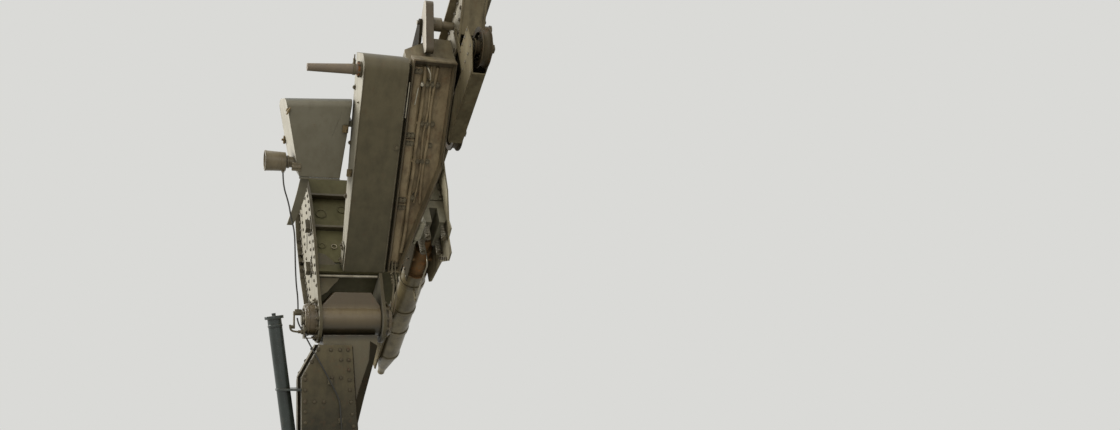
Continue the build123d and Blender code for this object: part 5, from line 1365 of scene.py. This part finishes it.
away = addNode(floorTree, "ShaderNodeVectorMath", {0: floorPlace, 1: (1.0, 1.0, 0.0)}, operation="MULTIPLY").outputs[0]
reach = addNode(floorTree, "ShaderNodeVectorMath", {0: away}, operation="LENGTH").outputs["Value"]
far = addNode(floorTree, "ShaderNodeMapRange", {
    "Value": reach, "From Min": stageSizes["fadeFrom"], "From Max": stageSizes["fadeTo"]},
    interpolation_type="SMOOTHSTEP").outputs[0]
pale = addNode(floorTree, "ShaderNodeMixShader", {0: far, 1: lifted.outputs[0], 2: paper.outputs[0]})
shown = addNode(floorTree, "ShaderNodeMixShader", {
    0: seenDirectly(floorTree), 1: floorShader.outputs[0], 2: pale.outputs[0]})
floorTree.links.new(shown.outputs[0], floorTree.nodes["Material Output"].inputs["Surface"])
floorMesh.materials.append(floorPaint)

world = bpy.data.worlds.new("Studio")
world.use_nodes = True
bpy.context.scene.world = world
sky = world.node_tree
ambient = sky.nodes["Background"]
ambient.inputs["Color"].default_value = stageTones["ambient"]
ambient.inputs["Strength"].default_value = stageSizes["ambient"]
backdrop = addNode(sky, "ShaderNodeBackground", {"Color": stageTones["backdrop"], "Strength": 1.0})
mixed = addNode(sky, "ShaderNodeMixShader", {0: seenDirectly(sky), 1: ambient.outputs[0], 2: backdrop.outputs[0]})
sky.links.new(mixed.outputs[0], sky.nodes["World Output"].inputs["Surface"])

softBoxes = {  # place, aim, size, power
    "LeftBox": ((-5.0, -10.5, 4.0), (0, -0.6, 0), (7, 6), 1900),
    "TopBox": ((0.5, 0.5, 9.0), (0, -0.4, 0), (9, 9), 260),
    "FrontBox": ((9.5, -3.5, 3.6), (0, -0.6, -0.5), (6, 5), 300),
}
for name, (place, aim, size, power) in softBoxes.items():
    lamp = bpy.data.lights.new(name, "AREA")
    lamp.shape = "RECTANGLE"
    lamp.size, lamp.size_y = size
    lamp.energy = power
    holder = bpy.data.objects.new(name, lamp)
    holder.location = place
    holder.rotation_mode = "QUATERNION"
    holder.rotation_quaternion = (Vector(aim) - Vector(place)).to_track_quat("-Z", "Y")
    holder.visible_camera = False
    bpy.context.scene.collection.objects.link(holder)

view = {  # focal length, drop and width in the photo's pixels
    "place": (9.034, -2.387, -0.874), "heading": (-0.92695, 0.37519, 0.0), "focal": 1050.0, "drop": 120.0,
    "width": 1120.0, "sensor": 36.0,
}
camera = bpy.data.cameras.new("Camera")
camera.sensor_fit = "HORIZONTAL"
camera.sensor_width = view["sensor"]
camera.lens = view["sensor"] * view["focal"] / view["width"]
camera.shift_y = view["drop"] / view["width"]
cameraHolder = bpy.data.objects.new("Camera", camera)
cameraHolder.location = view["place"]
cameraHolder.rotation_mode = "QUATERNION"
cameraHolder.rotation_quaternion = Vector(view["heading"]).to_track_quat("-Z", "Y")
bpy.context.scene.collection.objects.link(cameraHolder)
bpy.context.scene.camera = cameraHolder
bpy.context.scene.view_settings.view_transform = "Standard"
